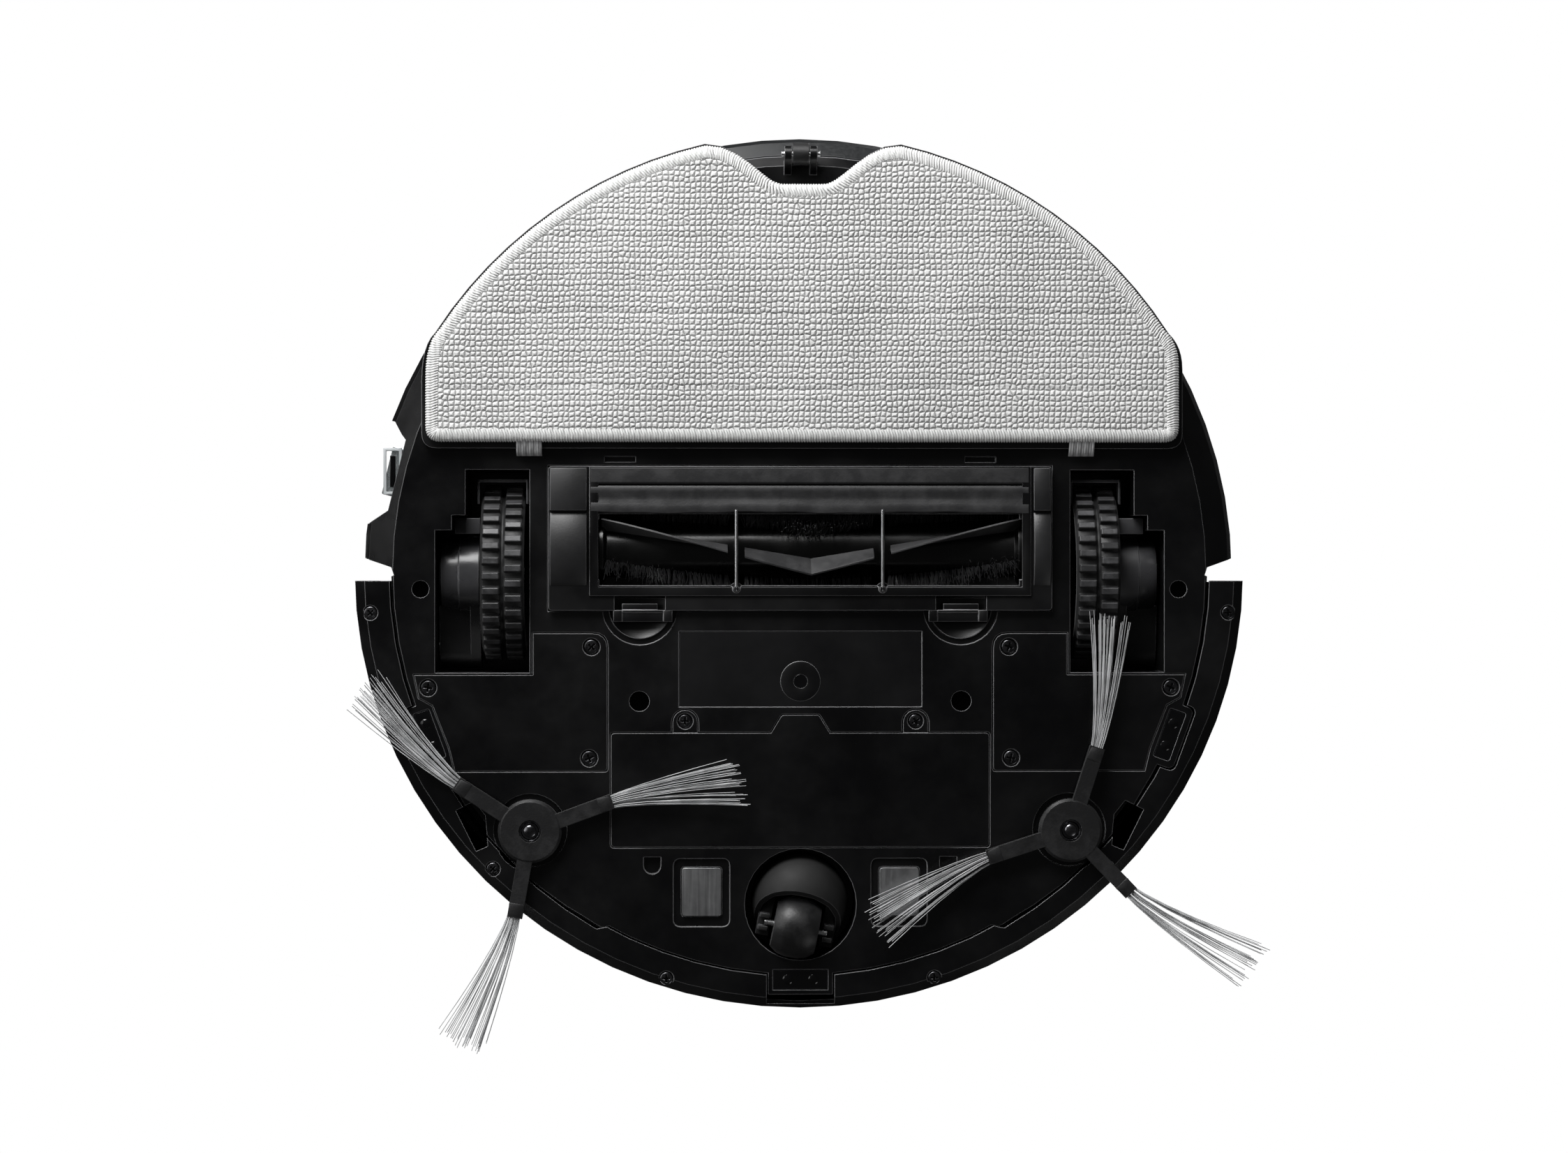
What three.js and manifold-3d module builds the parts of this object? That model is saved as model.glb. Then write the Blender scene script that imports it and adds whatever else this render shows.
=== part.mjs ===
// Robot vacuum with a mop, built upright: millimetres, +Z up, front towards -Y, wheels on z = 0.
import * as THREE from "three";
import { mergeVertices } from "three/addons/utils/BufferGeometryUtils.js";
import Module from "manifold-3d";

const wasm = await Module();
wasm.setup();

// ---- Driving dimensions (mm) -------------------------------------------------------------
const GAP = 0.3; // usual air gap between neighbouring pieces
const WELD = 1e-4; // vertices closer than this are one vertex
const BODY_R = 173; // rear body outside radius
const FLAT_R = 161; // radius of the flat underside, inside the sloping band
const FLANGE_R = 161.6; // chassis plate radius beside the bumper strip
const FRONT_R = 159; // chassis plate radius at the very front
const FRONT_WALL_R = 159.8; // chassis wall behind the bumper
const CAVITY_R = 157.4; // inside of that wall
const FLOOR_Z = 10; // ground clearance of the underside
const FLOOR_T = 3; // floor thickness
const SPLIT_Z = 52; // chassis below, top shell above
const TOP_Z = 80; // top of the shell
const TURRET_Z = 94; // top of the lidar turret
const WALL = 3; // skin thickness
const BODY_SIDES = 72; // facets round the body
const TALL = 120; // height of a cutter that passes through everything

const BUMPER = { x: 176.4, y: 172.8, travel: 2.5, end: -3.4, top: 71, bottom: 13.4, strip: 8.4 };
const BRUSH = { x: [-88.8, 80.2], y: 9, z: 24, r: 20, core: 12.5, shaft: 5, blades: 6, turn: 0.9 };
const COVER = { x: [-99.5, 99.5], y: [-15.1, 41.8], z: [7.2, 13.2], open: [-86.5, 79.5] };
const GUARD = { at: [25.4, -32.4], r: 0.7, groove: 2.5, grooveR: 14.5, y: [-7.5, 24.6], z: 6.4 };
const LATCH = { x: 63.5, half: 9.6, y: [-14.8, -9.8], press: 2 };
const WHEEL = { r: 35, rim: 29, x: [109, 126.3], y: 0, z: 35, axle: 3, sides: 32 };
const PIVOT = { y: -30, z: 40, r: 8.5, pin: 3 };
const MOTOR = { r: 14.8, x: [131.6, 143.7] };
const ARM_X = [127.3, 131.3];
const SPIN = { x: 106.7, y: -102, hub: 12.6, ring: 14.5, arm: 34.5, tuft: 68, dish: 38.5 };
const SPIN_ANGLES = { left: [160, 33, -80], right: [108, -18, -134] }; // arm directions, degrees
const CASTER = { x: 0, y: -131.4, r: 21.3, trail: 9.5, wheel: 12, half: 8.8, turn: 11 };
const CONTACT = { at: [39.1, -39.1], y: -126.4, size: [15.5, 19], frame: [22.3, 27] };
const LUG_X = 45.6; // screw lugs of the battery cover
const SCREW = { r: 3.5, deep: 1.2 }; // counterbore of a case screw
const MODULE_SCREWS = [[82.6, -29.5], [147, -45.6], [83.5, -73.5]];
const STRIP_SCREWS = [[169.6, -16], [121.4, -117], [53, -160.4]];
const BATTERY = { x: 69, y: [-105, -67.5], z: [13.6, 44] };
const CLIFF = { x: 146.5, y: -64.4, size: [6.2, 19.5], tilt: -20 };
const NOSE = { x: [-10.6, 10.6], y: [-164.9, -157.5] };
const TRAIL = { x: 0, y: 164.8, r: 4.35, half: 3.15, axle: 1.25, span: 7.65 };
const MOP = { x: -0.9, y: 1, r: 171.5, half: 148.6, edge: 51.2, z: [1.5, 5.6], plate: [6, 9.6] };
const BIN = { x: 88, y: [50.5, 111.5], z: [13.6, 68], wall: 2, mouth: 38 };
const TANK = { x: 91.6, y: 112, z: [13.6, 70.6], wall: 2, fill: [46, 140], fillR: 6 };
const LIDAR = { y: -2, cup: 46, cap: 44.8, rotor: 38 };
const FAN = { x: -117.5, y: 70, r: 20.5 };

// ---- Materials: colour, roughness, metalness ---------------------------------------------
const LOOKS = {
  body_black: [0x1c1c1d, 0.7, 0],
  trim_black: [0x161617, 0.4, 0],
  inner_grey: [0x3a3b3d, 0.7, 0],
  tyre_rubber: [0x2b2b2c, 0.85, 0],
  soft_rubber: [0x303031, 0.85, 0],
  clear_lens: [0xc9d2d6, 0.1, 0],
  dark_lens: [0x0b0b0c, 0.1, 0],
  steel: [0xb9bbbd, 0.3, 1],
  contact_chrome: [0xd9dadb, 0.12, 1],
  tank_tint: [0x2d3033, 0.3, 0],
  cloth_white: [0xe6e6e4, 0.95, 0],
  bristle_nylon: [0xa3a5a7, 0.6, 0],
  board_green: [0x1f4a33, 0.6, 0],
  filter_paper: [0xe9e7df, 0.9, 0],
};

// ---- Geometry helpers --------------------------------------------------------------------

/** A Manifold from any closed three.js geometry, turned to face outwards. */
function solid(geometry) {
  const bare = geometry.clone();
  for (const name of Object.keys(bare.attributes)) {
    if (name !== "position") bare.deleteAttribute(name);
  }
  const merged = mergeVertices(bare, WELD);
  const at = merged.attributes.position;
  const faces = [];
  let volume = 0;
  const [a, b, c] = [new THREE.Vector3(), new THREE.Vector3(), new THREE.Vector3()];
  for (let i = 0; i < merged.index.count; i += 3) {
    const [p, q, r] = [0, 1, 2].map((k) => merged.index.getX(i + k));
    if (p === q || q === r || r === p) continue;
    faces.push([p, q, r]);
    a.fromBufferAttribute(at, p);
    b.fromBufferAttribute(at, q);
    c.fromBufferAttribute(at, r);
    volume += a.dot(b.cross(c));
  }
  const order = volume < 0 ? faces.map(([p, q, r]) => [p, r, q]) : faces;
  return new wasm.Manifold(
    new wasm.Mesh({
      numProp: 3,
      vertProperties: new Float32Array(at.array),
      triVerts: new Uint32Array(order.flat()),
    }),
  );
}

/** Box from [low, high] pairs along each axis. */
function box(x, y, z) {
  const geometry = new THREE.BoxGeometry(x[1] - x[0], y[1] - y[0], z[1] - z[0]);
  geometry.translate((x[0] + x[1]) / 2, (y[0] + y[1]) / 2, (z[0] + z[1]) / 2);
  return solid(geometry);
}

/** Round bar along z at [x, y]. */
function post(radius, z, at, sides = 24) {
  const geometry = new THREE.CylinderGeometry(radius, radius, z[1] - z[0], sides);
  geometry.rotateX(Math.PI / 2);
  geometry.translate(at[0], at[1], (z[0] + z[1]) / 2);
  return solid(geometry);
}

/** Round bar along x at [y, z]. */
function bar(radius, x, at, sides = 24) {
  const geometry = new THREE.CylinderGeometry(radius, radius, x[1] - x[0], sides);
  geometry.rotateZ(Math.PI / 2);
  geometry.translate((x[0] + x[1]) / 2, at[0], at[1]);
  return solid(geometry);
}

/** Round bar along y at [x, z]. */
function rail(radius, y, at, sides = 8) {
  const geometry = new THREE.CylinderGeometry(radius, radius, y[1] - y[0], sides);
  geometry.translate(at[0], (y[0] + y[1]) / 2, at[1]);
  return solid(geometry);
}

/** Turned body about the z axis from a [radius, z] profile. */
function turned(profile, sides = BODY_SIDES, at = [0, 0]) {
  const points = profile.map(([r, z]) => new THREE.Vector2(r, z));
  const geometry = new THREE.LatheGeometry(points, sides);
  geometry.rotateX(Math.PI / 2);
  geometry.translate(at[0], at[1], 0);
  return geometry;
}

/** Turned ring about a line along x from a closed [radius, x] profile, centred on [y, z]. */
function wheelTurned(profile, sides, at) {
  const points = profile.map(([r, x]) => new THREE.Vector2(r, x));
  points.push(points[0].clone());
  const geometry = new THREE.LatheGeometry(points, sides);
  geometry.rotateZ(-Math.PI / 2);
  geometry.translate(0, at[0], at[1]);
  return solid(geometry);
}

/** Shape through [x, y] corners; a third number rounds that corner. */
function outline(corners) {
  const shape = new THREE.Shape();
  const count = corners.length;
  corners.forEach(([x, y, radius = 0], i) => {
    const before = corners[(i + count - 1) % count];
    const after = corners[(i + 1) % count];
    const here = new THREE.Vector2(x, y);
    const back = new THREE.Vector2(before[0] - x, before[1] - y).normalize();
    const ahead = new THREE.Vector2(after[0] - x, after[1] - y).normalize();
    const start = here.clone().addScaledVector(back, radius);
    const end = here.clone().addScaledVector(ahead, radius);
    if (i === 0) shape.moveTo(start.x, start.y);
    else shape.lineTo(start.x, start.y);
    if (radius > 0) shape.quadraticCurveTo(x, y, end.x, end.y);
  });
  shape.closePath();
  return shape;
}

/** Flat plate of a shape between two heights. */
function plate(shape, z, curveSegments = 4) {
  const options = { depth: z[1] - z[0], bevelEnabled: false, curveSegments };
  const geometry = new THREE.ExtrudeGeometry(shape, options);
  geometry.translate(0, 0, z[0]);
  return solid(geometry);
}

/** Slab along x of a shape drawn in the y-z plane. */
function slab(shape, x, curveSegments = 10) {
  const options = { depth: x[1] - x[0], bevelEnabled: false, curveSegments };
  const geometry = new THREE.ExtrudeGeometry(shape, options);
  const turn = new THREE.Matrix4().makeBasis(
    new THREE.Vector3(0, 1, 0),
    new THREE.Vector3(0, 0, 1),
    new THREE.Vector3(1, 0, 0),
  );
  geometry.applyMatrix4(turn);
  geometry.translate(x[0], 0, 0);
  return solid(geometry);
}

/** Corners moved outwards by a distance, for outlines drawn clockwise seen from above. */
function grown(corners, distance) {
  const count = corners.length;
  return corners.map(([x, y, radius = 0], i) => {
    const before = corners[(i + count - 1) % count];
    const after = corners[(i + 1) % count];
    const first = new THREE.Vector2(x - before[0], y - before[1]).normalize();
    const second = new THREE.Vector2(after[0] - x, after[1] - y).normalize();
    const bisector = new THREE.Vector2(-first.y - second.y, first.x + second.x).normalize();
    const reach = distance / (bisector.x * -first.y + bisector.y * first.x);
    return [x + bisector.x * reach, y + bisector.y * reach, radius];
  });
}

/** Belt round two circles given as [y, z, radius]. */
function belt(one, two) {
  const away = Math.atan2(two[1] - one[1], two[0] - one[0]);
  const lean = Math.acos((one[2] - two[2]) / Math.hypot(two[0] - one[0], two[1] - one[1]));
  const shape = new THREE.Shape();
  shape.absarc(one[0], one[1], one[2], away + lean, away - lean + 2 * Math.PI, false);
  shape.absarc(two[0], two[1], two[2], away - lean, away + lean, false);
  shape.closePath();
  return shape;
}

/** Corners mirrored to the other side of the robot. */
function mirrored(corners) {
  return corners.map(([x, y, radius = 0]) => [-x, y, radius]).reverse();
}

/** Rectangle corners round a centre, turned by an angle in degrees. */
function turnedBox(centre, size, degrees, radius = 0) {
  const angle = THREE.MathUtils.degToRad(degrees);
  const signs = [[-1, -1], [-1, 1], [1, 1], [1, -1]];
  return signs.map(([i, j]) => {
    const offset = new THREE.Vector2((i * size[0]) / 2, (j * size[1]) / 2);
    offset.rotateAround(new THREE.Vector2(), angle);
    return [centre[0] + offset.x, centre[1] + offset.y, radius];
  });
}

const root = new THREE.Group();

/** Adds a named mesh; side -1 mirrors a piece built on the +X side. */
function add(name, body, look, side = 1) {
  const mesh = body.getMesh();
  const geometry = new THREE.BufferGeometry();
  const flip = side < 0;
  const corners = [];
  for (let i = 0; i < mesh.triVerts.length; i += 3) {
    const face = [0, flip ? 2 : 1, flip ? 1 : 2];
    for (const k of face) {
      const v = mesh.triVerts[i + k] * mesh.numProp;
      const [x, y, z] = mesh.vertProperties.subarray(v, v + 3);
      corners.push(flip ? -x : x, y, z);
    }
  }
  geometry.setAttribute("position", new THREE.Float32BufferAttribute(corners, 3));
  geometry.computeVertexNormals();
  const [color, roughness, metalness] = LOOKS[look];
  const material = new THREE.MeshStandardMaterial({ color, roughness, metalness });
  material.name = look;
  const piece = new THREE.Mesh(geometry, material);
  piece.name = name;
  root.add(piece);
}

const EVERYTHING = [-200, 200];

/** Keeps only what lies in a y range. */
function keepY(body, y) {
  return body.intersect(box(EVERYTHING, y, [-5, TALL]));
}

// ---- Outlines shared between pieces ------------------------------------------------------

/** Pocket in the +X side wall in front of the mop, where the wall sensor looks out. */
const SENSOR_NOTCH = [[157.7, 54.5], [160.5, 59.5], [176, 66], [178, 19.3], [171.3, 19.3], [163, 24.4], [156, 52.3]];
/** Wedge of air between the end of the bumper and the rear body. */
const END_WEDGE = [[160.5, -1.2], [161.5, 1.9], [180, 7.9], [180, -5], [166, -3.4]];
/** Stepped wheel well, +X side. */
const WELL = [
  [107, -39.7], [107, 40.5], [132.3, 40.5], [132.3, 22.5],
  [137.7, 22.5], [137.7, 16.6], [144.3, 16.6], [144.3, -39.7],
];
/** Screwed plate over the side brush gearing, +X side. */
const MODULE = [
  [76.4, -78.5, 1.5], [76.4, -24.2, 6], [105.6, -24.2], [105.6, -40.6],
  [152.4, -40.6], [150.6, -49.5], [145.2, -52.5], [138.6, -69.4], [136.4, -78.5],
];
/** Battery cover with its finger tab. */
const BATTERY_COVER = [
  [-74.8, -108.6, 1.5], [-74.8, -63.6, 1.5], [-11.6, -63.6], [-7.3, -56.5, 1],
  [7.3, -56.5, 1], [11.6, -63.6], [74.8, -63.6, 1.5], [74.8, -108.6, 1.5],
];
/** Narrow front part of the chassis plate edge, between the two steps. */
const FRONT_STEP = [[-82.6, -180], [-82.6, -141.2], [-74.6, -139.5], [74.6, -139.5], [82.6, -141.2], [82.6, -180]];
/** Guide openings between bumper strip and chassis, +X side. */
const GUIDE = [[123.4, -108], [124.6, -96], [129, -90.5], [136, -94], [128, -110]];

/** Outline of the mop, larger by an edge width, with the notch for the trailing roller. */
function mopOutline(edge, lower) {
  const half = MOP.half + edge;
  const radius = MOP.r + edge / 2;
  const lobe = THREE.MathUtils.degToRad(77);
  const side = Math.acos(half / radius) + 0.06;
  const [x, y] = [MOP.x, MOP.y];
  const peak = [radius * Math.cos(lobe), y + radius * Math.sin(lobe)];
  const shape = new THREE.Shape();
  shape.moveTo(x - half + 6, lower);
  shape.quadraticCurveTo(x - half, lower, x - half, lower + 6);
  shape.lineTo(x - half, y + radius * Math.sin(side) - 14);
  const start = [x - radius * Math.cos(side), y + radius * Math.sin(side)];
  shape.quadraticCurveTo(x - half, start[1] - 5, start[0], start[1]);
  shape.absarc(x, y, radius, Math.PI - side, Math.PI - lobe, true);
  const notch = 153 - edge / 2;
  shape.bezierCurveTo(x - 25, peak[1] + 1, x - 14.5, notch, x - 9, notch);
  shape.lineTo(x + 9, notch);
  shape.bezierCurveTo(x + 14.5, notch, x + 25, peak[1] + 1, x + peak[0], peak[1]);
  shape.absarc(x, y, radius, lobe, side, true);
  shape.quadraticCurveTo(x + half, start[1] - 5, x + half, start[1] - 19);
  shape.lineTo(x + half, lower + 6);
  shape.quadraticCurveTo(x + half, lower, x + half - 6, lower);
  shape.closePath();
  return shape;
}

/** Shallow dish pressed round a side brush, on both sides of the robot. */
function dishes() {
  const cone = (x) => solid(turned(
    [[0, FLOOR_Z + 1.6], [SPIN.dish, FLOOR_Z], [SPIN.dish + 9.6, FLOOR_Z - 0.4], [0, FLOOR_Z - 0.4]],
    26,
    [x, SPIN.y],
  ));
  return cone(SPIN.x).add(cone(-SPIN.x));
}

// ---- Chassis and shell -------------------------------------------------------------------

/** Chassis body before any opening: rear tub, front plate and wall, bulkhead between them. */
function chassisTub() {
  const rearSkin = solid(turned([
    [0, FLOOR_Z], [FLAT_R, FLOOR_Z], [171, 17.5], [BODY_R, 22], [BODY_R, SPLIT_Z], [0, SPLIT_Z],
  ]));
  const rearRoom = solid(turned([
    [0, FLOOR_Z + FLOOR_T], [159.8, FLOOR_Z + FLOOR_T], [168.3, 19.4],
    [BODY_R - WALL, 23], [BODY_R - WALL, SPLIT_Z + 1], [0, SPLIT_Z + 1],
  ]));
  const frontSkin = solid(turned([
    [0, FLOOR_Z], [FLANGE_R - 0.8, FLOOR_Z], [FLANGE_R, FLOOR_Z + 0.8], [FLANGE_R, FLOOR_Z + FLOOR_T],
    [FRONT_WALL_R, FLOOR_Z + FLOOR_T], [FRONT_WALL_R, SPLIT_Z], [0, SPLIT_Z],
  ]));
  const frontRoom = post(CAVITY_R, [FLOOR_Z + FLOOR_T, SPLIT_Z + 1], [0, 0], BODY_SIDES);
  const notch = plate(outline(SENSOR_NOTCH), [0, TALL]);
  const notchWall = plate(outline(grown(SENSOR_NOTCH, WALL)), [0, TALL]);
  const step = plate(outline(FRONT_STEP), [0, TALL]).subtract(post(FRONT_R, [0, TALL], [0, 0], BODY_SIDES));
  const rear = keepY(rearSkin, [0, 200]).subtract(notch);
  const room = keepY(rearRoom, [8.6, 200]).subtract(notchWall);
  return rear.add(keepY(frontSkin, [-200, 0.6])).subtract(room).subtract(keepY(frontRoom, [-200, 20.4])).subtract(step);
}

/** Walls standing on the chassis floor: brush bay, wheel wells, caster cup, battery frame. */
function chassisWalls() {
  const [lo, hi] = [FLOOR_Z, SPLIT_Z];
  const wellWall = plate(outline(grown(WELL, 2.2)), [lo, hi]).add(box([141, 147.3], [-41.9, 18.8], [lo, hi]));
  const farWall = plate(outline(grown(mirrored(WELL), 2.2)), [lo, hi]).add(box([-147.3, -141], [-41.9, 18.8], [lo, hi]));
  let walls = wellWall.add(farWall);
  walls = walls.add(box([-105, 105], [-18, 44.7], [lo, 50]));
  walls = walls.add(post(24.3, [lo, 38], [CASTER.x, CASTER.y], 32));
  walls = walls.add(box([-72.2, 72.2], [-108, -64.3], [lo, 30]).subtract(box([-70, 70], [-106, -66.5], [lo, 31])));
  for (const x of [-56, 56]) {
    for (const y of [-114, -48]) walls = walls.add(post(3, [lo + 1, 53.7], [x, y], 12));
  }
  return walls;
}

/** Legs that carry the trailing roller behind the mop, and ears for the floor sensors. */
function chassisEars() {
  let ears = box([NOSE.x[0] - 2.2, NOSE.x[1] + 2.2], [-167, -150], [FLOOR_Z, FLOOR_Z + FLOOR_T]);
  for (const side of [-1, 1]) {
    const near = TRAIL.x + side * (TRAIL.half + 0.5);
    const far = TRAIL.x + side * (TRAIL.half + 3.3);
    const leg = slab(belt([TRAIL.y, TRAIL.r + 0.3, 3.2], [159, 12, 2.6]), [Math.min(near, far), Math.max(near, far)], 6);
    ears = ears.add(leg);
    const centre = [side * CLIFF.x, CLIFF.y];
    const size = [CLIFF.size[0] + 5.6, CLIFF.size[1] + 6];
    ears = ears.add(plate(outline(turnedBox(centre, size, side * CLIFF.tilt, 3)), [FLOOR_Z, FLOOR_Z + FLOOR_T]));
  }
  return ears;
}

/** Round, slotted and rectangular marks pressed into the underside. */
function undersideMarks() {
  const z = [FLOOR_Z - 1, FLOOR_Z + 2.2];
  let marks = box([-48.1, 48.1], [-53.3, -23.3], [FLOOR_Z - 1, FLOOR_Z + 0.3]);
  for (const side of [-1, 1]) {
    marks = marks.add(post(3.4, z, [side * 150, -6.7], 16));
    marks = marks.add(post(4, z, [side * 63.7, -51], 16));
    marks = marks.add(post(3.4, z, [side * 58.6, -116], 16).add(
      box([side * 58.6 - 3.4, side * 58.6 + 3.4], [-116, -112.6], z),
    ));
    marks = marks.add(box([side * 71.3 - 6.1, side * 71.3 + 6.1], [43.5, 45.7], [FLOOR_Z - 1, FLOOR_Z + 1.6]));
    const scoop = post(14.8, [FLOOR_Z - 1, FLOOR_Z + 1], [side * LATCH.x, -14], 32);
    const well = post(12.4, [FLOOR_Z - 1, FLOOR_Z + 2.2], [side * LATCH.x, -14], 32);
    marks = marks.add(scoop).add(well);
  }
  return marks;
}

/** Every room, hole and seat taken out of the chassis. */
function chassisRooms() {
  const floor = [FLOOR_Z - 1, FLOOR_Z + FLOOR_T + 1];
  const seat = [FLOOR_Z - 1, FLOOR_Z + 1.9];
  let rooms = undersideMarks().add(dishes());
  for (const side of [1, -1]) {
    const well = side > 0 ? WELL : mirrored(WELL);
    const cover = side > 0 ? MODULE : mirrored(MODULE);
    const guide = side > 0 ? GUIDE : mirrored(GUIDE);
    const wedge = side > 0 ? END_WEDGE : mirrored(END_WEDGE);
    rooms = rooms.add(plate(outline(well), [0, SPLIT_Z + 1]));
    rooms = rooms.add(plate(outline(grown(cover, 0.4)), seat));
    rooms = rooms.add(plate(outline(guide), [0, 20]));
    rooms = rooms.add(plate(outline(wedge), [0, TALL]));
    rooms = rooms.add(bar(PIVOT.pin + 0.1, side > 0 ? [144, 149] : [-149, -144], [PIVOT.y, PIVOT.z], 16));
    rooms = rooms.add(post(SPIN.ring, [FLOOR_Z - 1, 12.2], [side * SPIN.x, SPIN.y], 32));
    rooms = rooms.add(post(6, floor, [side * SPIN.x, SPIN.y], 20));
    const sensor = turnedBox([side * CLIFF.x, CLIFF.y], [CLIFF.size[0] + 0.6, CLIFF.size[1] + 0.6], side * CLIFF.tilt, 1);
    rooms = rooms.add(plate(outline(sensor), [FLOOR_Z - 1, FLOOR_Z + 2]));
  }
  for (const x of CONTACT.at) {
    const frame = turnedBox([x, CONTACT.y - 0.3], CONTACT.frame, 0, 3);
    const slot = turnedBox([x, CONTACT.y], CONTACT.size.map((s) => s + 2 * GAP), 0, 1.4);
    rooms = rooms.add(plate(outline(frame), [FLOOR_Z - 1, FLOOR_Z + 1])).add(plate(outline(slot), floor));
  }
  rooms = rooms.add(plate(outline(grown(BATTERY_COVER, 0.4)), seat));
  for (const x of [-LUG_X, LUG_X]) rooms = rooms.add(post(5.4, seat, [x, -59.4], 20).add(box([x - 5.4, x + 5.4], [-64, -59.4], seat)));
  rooms = rooms.add(box([-70, 70], [-106, -66.5], floor));
  rooms = rooms.add(box([NOSE.x[0] - GAP, NOSE.x[1] + GAP], [NOSE.y[0] - GAP, NOSE.y[1] + GAP], [FLOOR_Z - 1, FLOOR_Z + 2]));
  rooms = rooms.add(post(CASTER.r + 0.8, [FLOOR_Z - 2, 36], [CASTER.x, CASTER.y], 32));
  rooms = rooms.add(post(4.2, [35, 39], [CASTER.x, CASTER.y], 16));
  for (const side of [-1, 1]) {
    const leg = TRAIL.x + side * (TRAIL.half + 1.9);
    rooms = rooms.add(bar(TRAIL.axle + 0.1, [leg - 2, leg + 2], [TRAIL.y, TRAIL.r], 12));
  }
  return rooms.add(brushRooms()).add(box([-TANK.x - 0.4, TANK.x + 0.4], [60, 200], [FLOOR_Z + FLOOR_T, TALL]));
}

/** Brush bay: seat of the cover, trough, gearbox room, shaft holes and suction duct. */
function brushRooms() {
  const at = [BRUSH.y, BRUSH.z];
  let rooms = box([COVER.x[0] - 0.4, COVER.x[1] + 0.4], [COVER.y[0] - 0.4, COVER.y[1] + 0.4], [FLOOR_Z - 1, 13.6]);
  rooms = rooms.add(box([-93, 83.2], [-13.6, 32.5], [13, BRUSH.z])).add(bar(23, [-93, 83.2], at, 28));
  rooms = rooms.add(box([85.2, 99.8], [-13.6, 36.5], [13, 47]));
  rooms = rooms.add(bar(BRUSH.shaft + 0.1, [-97, -92], at, 16)).add(bar(BRUSH.shaft + 0.1, [82, 86], at, 16));
  return rooms.add(box([-BIN.mouth, BIN.mouth], [22, 46], [30, 44]));
}

function baseChassis() {
  const walls = chassisWalls().intersect(post(FRONT_WALL_R, [0, TALL], [0, 0], BODY_SIDES));
  return chassisTub().add(walls).add(chassisEars()).subtract(chassisRooms());
}

function topShell() {
  const skin = solid(turned([
    [0, TOP_Z], [150, TOP_Z - 0.4], [168, 78.6], [171.8, 75.5], [BODY_R, 71], [BODY_R, SPLIT_Z + 0.4], [0, SPLIT_Z + 0.4],
  ]));
  const room = solid(turned([
    [0, TOP_Z - WALL], [166.5, 75.4], [BODY_R - WALL, 70], [BODY_R - WALL, SPLIT_Z], [0, SPLIT_Z],
  ]));
  const notch = plate(outline(SENSOR_NOTCH), [0, TALL]);
  const notchWall = plate(outline(grown(SENSOR_NOTCH, WALL)), [0, TALL]);
  let shell = skin.subtract(notch).subtract(room.subtract(notchWall));
  shell = shell.subtract(box(EVERYTHING, [-200, 0], [SPLIT_Z, BUMPER.top + 1.6]));
  for (const wedge of [END_WEDGE, mirrored(END_WEDGE)]) {
    shell = shell.subtract(plate(outline(wedge), [0, TALL]));
  }
  shell = shell.add(post(LIDAR.cup, [62, 78], [0, LIDAR.y], 32)).subtract(post(LIDAR.cup - 2.6, [64.4, TALL], [0, LIDAR.y], 32));
  for (const y of [-76, -104]) shell = shell.subtract(post(9.4, [70, TALL], [0, y], 24));
  return shell.subtract(box([-TANK.x - 0.4, TANK.x + 0.4], [100, 200], [SPLIT_Z - 1, TANK.z[1] + 0.6]));
}

/** Push button with a wider foot held under the shell. */
function button(y) {
  return post(9, [74, 80.7], [0, y], 24).add(post(11, [73, 75.6], [0, y], 24));
}

function lidarCap() {
  let cap = post(LIDAR.cap, [90.6, TURRET_Z - 1.2], [0, LIDAR.y], 32);
  cap = cap.add(post(LIDAR.cap - 1.6, [90, TURRET_Z], [0, LIDAR.y], 32));
  const foot = post(LIDAR.cap, [TOP_Z + GAP, TOP_Z + 2], [0, LIDAR.y], 32);
  cap = cap.add(foot.subtract(post(39.4, [TOP_Z, TOP_Z + 3], [0, LIDAR.y], 32)));
  for (let i = 0; i < 5; i += 1) {
    const angle = Math.PI / 2 + (i * 2 * Math.PI) / 5;
    const at = [41.8 * Math.cos(angle), LIDAR.y + 41.8 * Math.sin(angle)];
    cap = cap.add(post(2.2, [TOP_Z + 1, 91], at, 6));
  }
  return cap;
}

function lidarRotor() {
  const profile = [[0, 65], [LIDAR.rotor, 65], [LIDAR.rotor, 69], [32, 69], [32, 89], [0, 89]];
  const head = solid(turned(profile, 32, [0, LIDAR.y]));
  const eye = (x) => rail(4, [-36, -26], [x, 83], 16);
  return head.subtract(eye(-11)).subtract(eye(11));
}

// ---- Bumper ------------------------------------------------------------------------------

/** Front half ring from a profile, widened slightly across the robot. */
function bumperBand(profile) {
  const geometry = turned([...profile, profile[0]]);
  geometry.scale(BUMPER.x / BUMPER.y, 1, 1);
  return keepY(solid(geometry), [-200, BUMPER.end]);
}

function bumperShell() {
  const shell = bumperBand([
    [172.4, BUMPER.bottom], [172.8, 16], [172.8, 66], [170.5, BUMPER.top],
    [167.6, BUMPER.top], [169.8, 65.5], [169.8, BUMPER.bottom],
  ]);
  const window = bumperBand([[171.3, 30], [175, 30], [175, 54], [171.3, 54]]).intersect(box([-46, 46], [-200, 0], [0, TALL]));
  return shell.subtract(window);
}

function bumperWindow() {
  const band = bumperBand([[171.6, 30.4], [172.8, 30.4], [172.8, 53.6], [171.6, 53.6]]);
  return band.intersect(box([-45.6, 45.6], [-200, 0], [0, TALL]));
}

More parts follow.
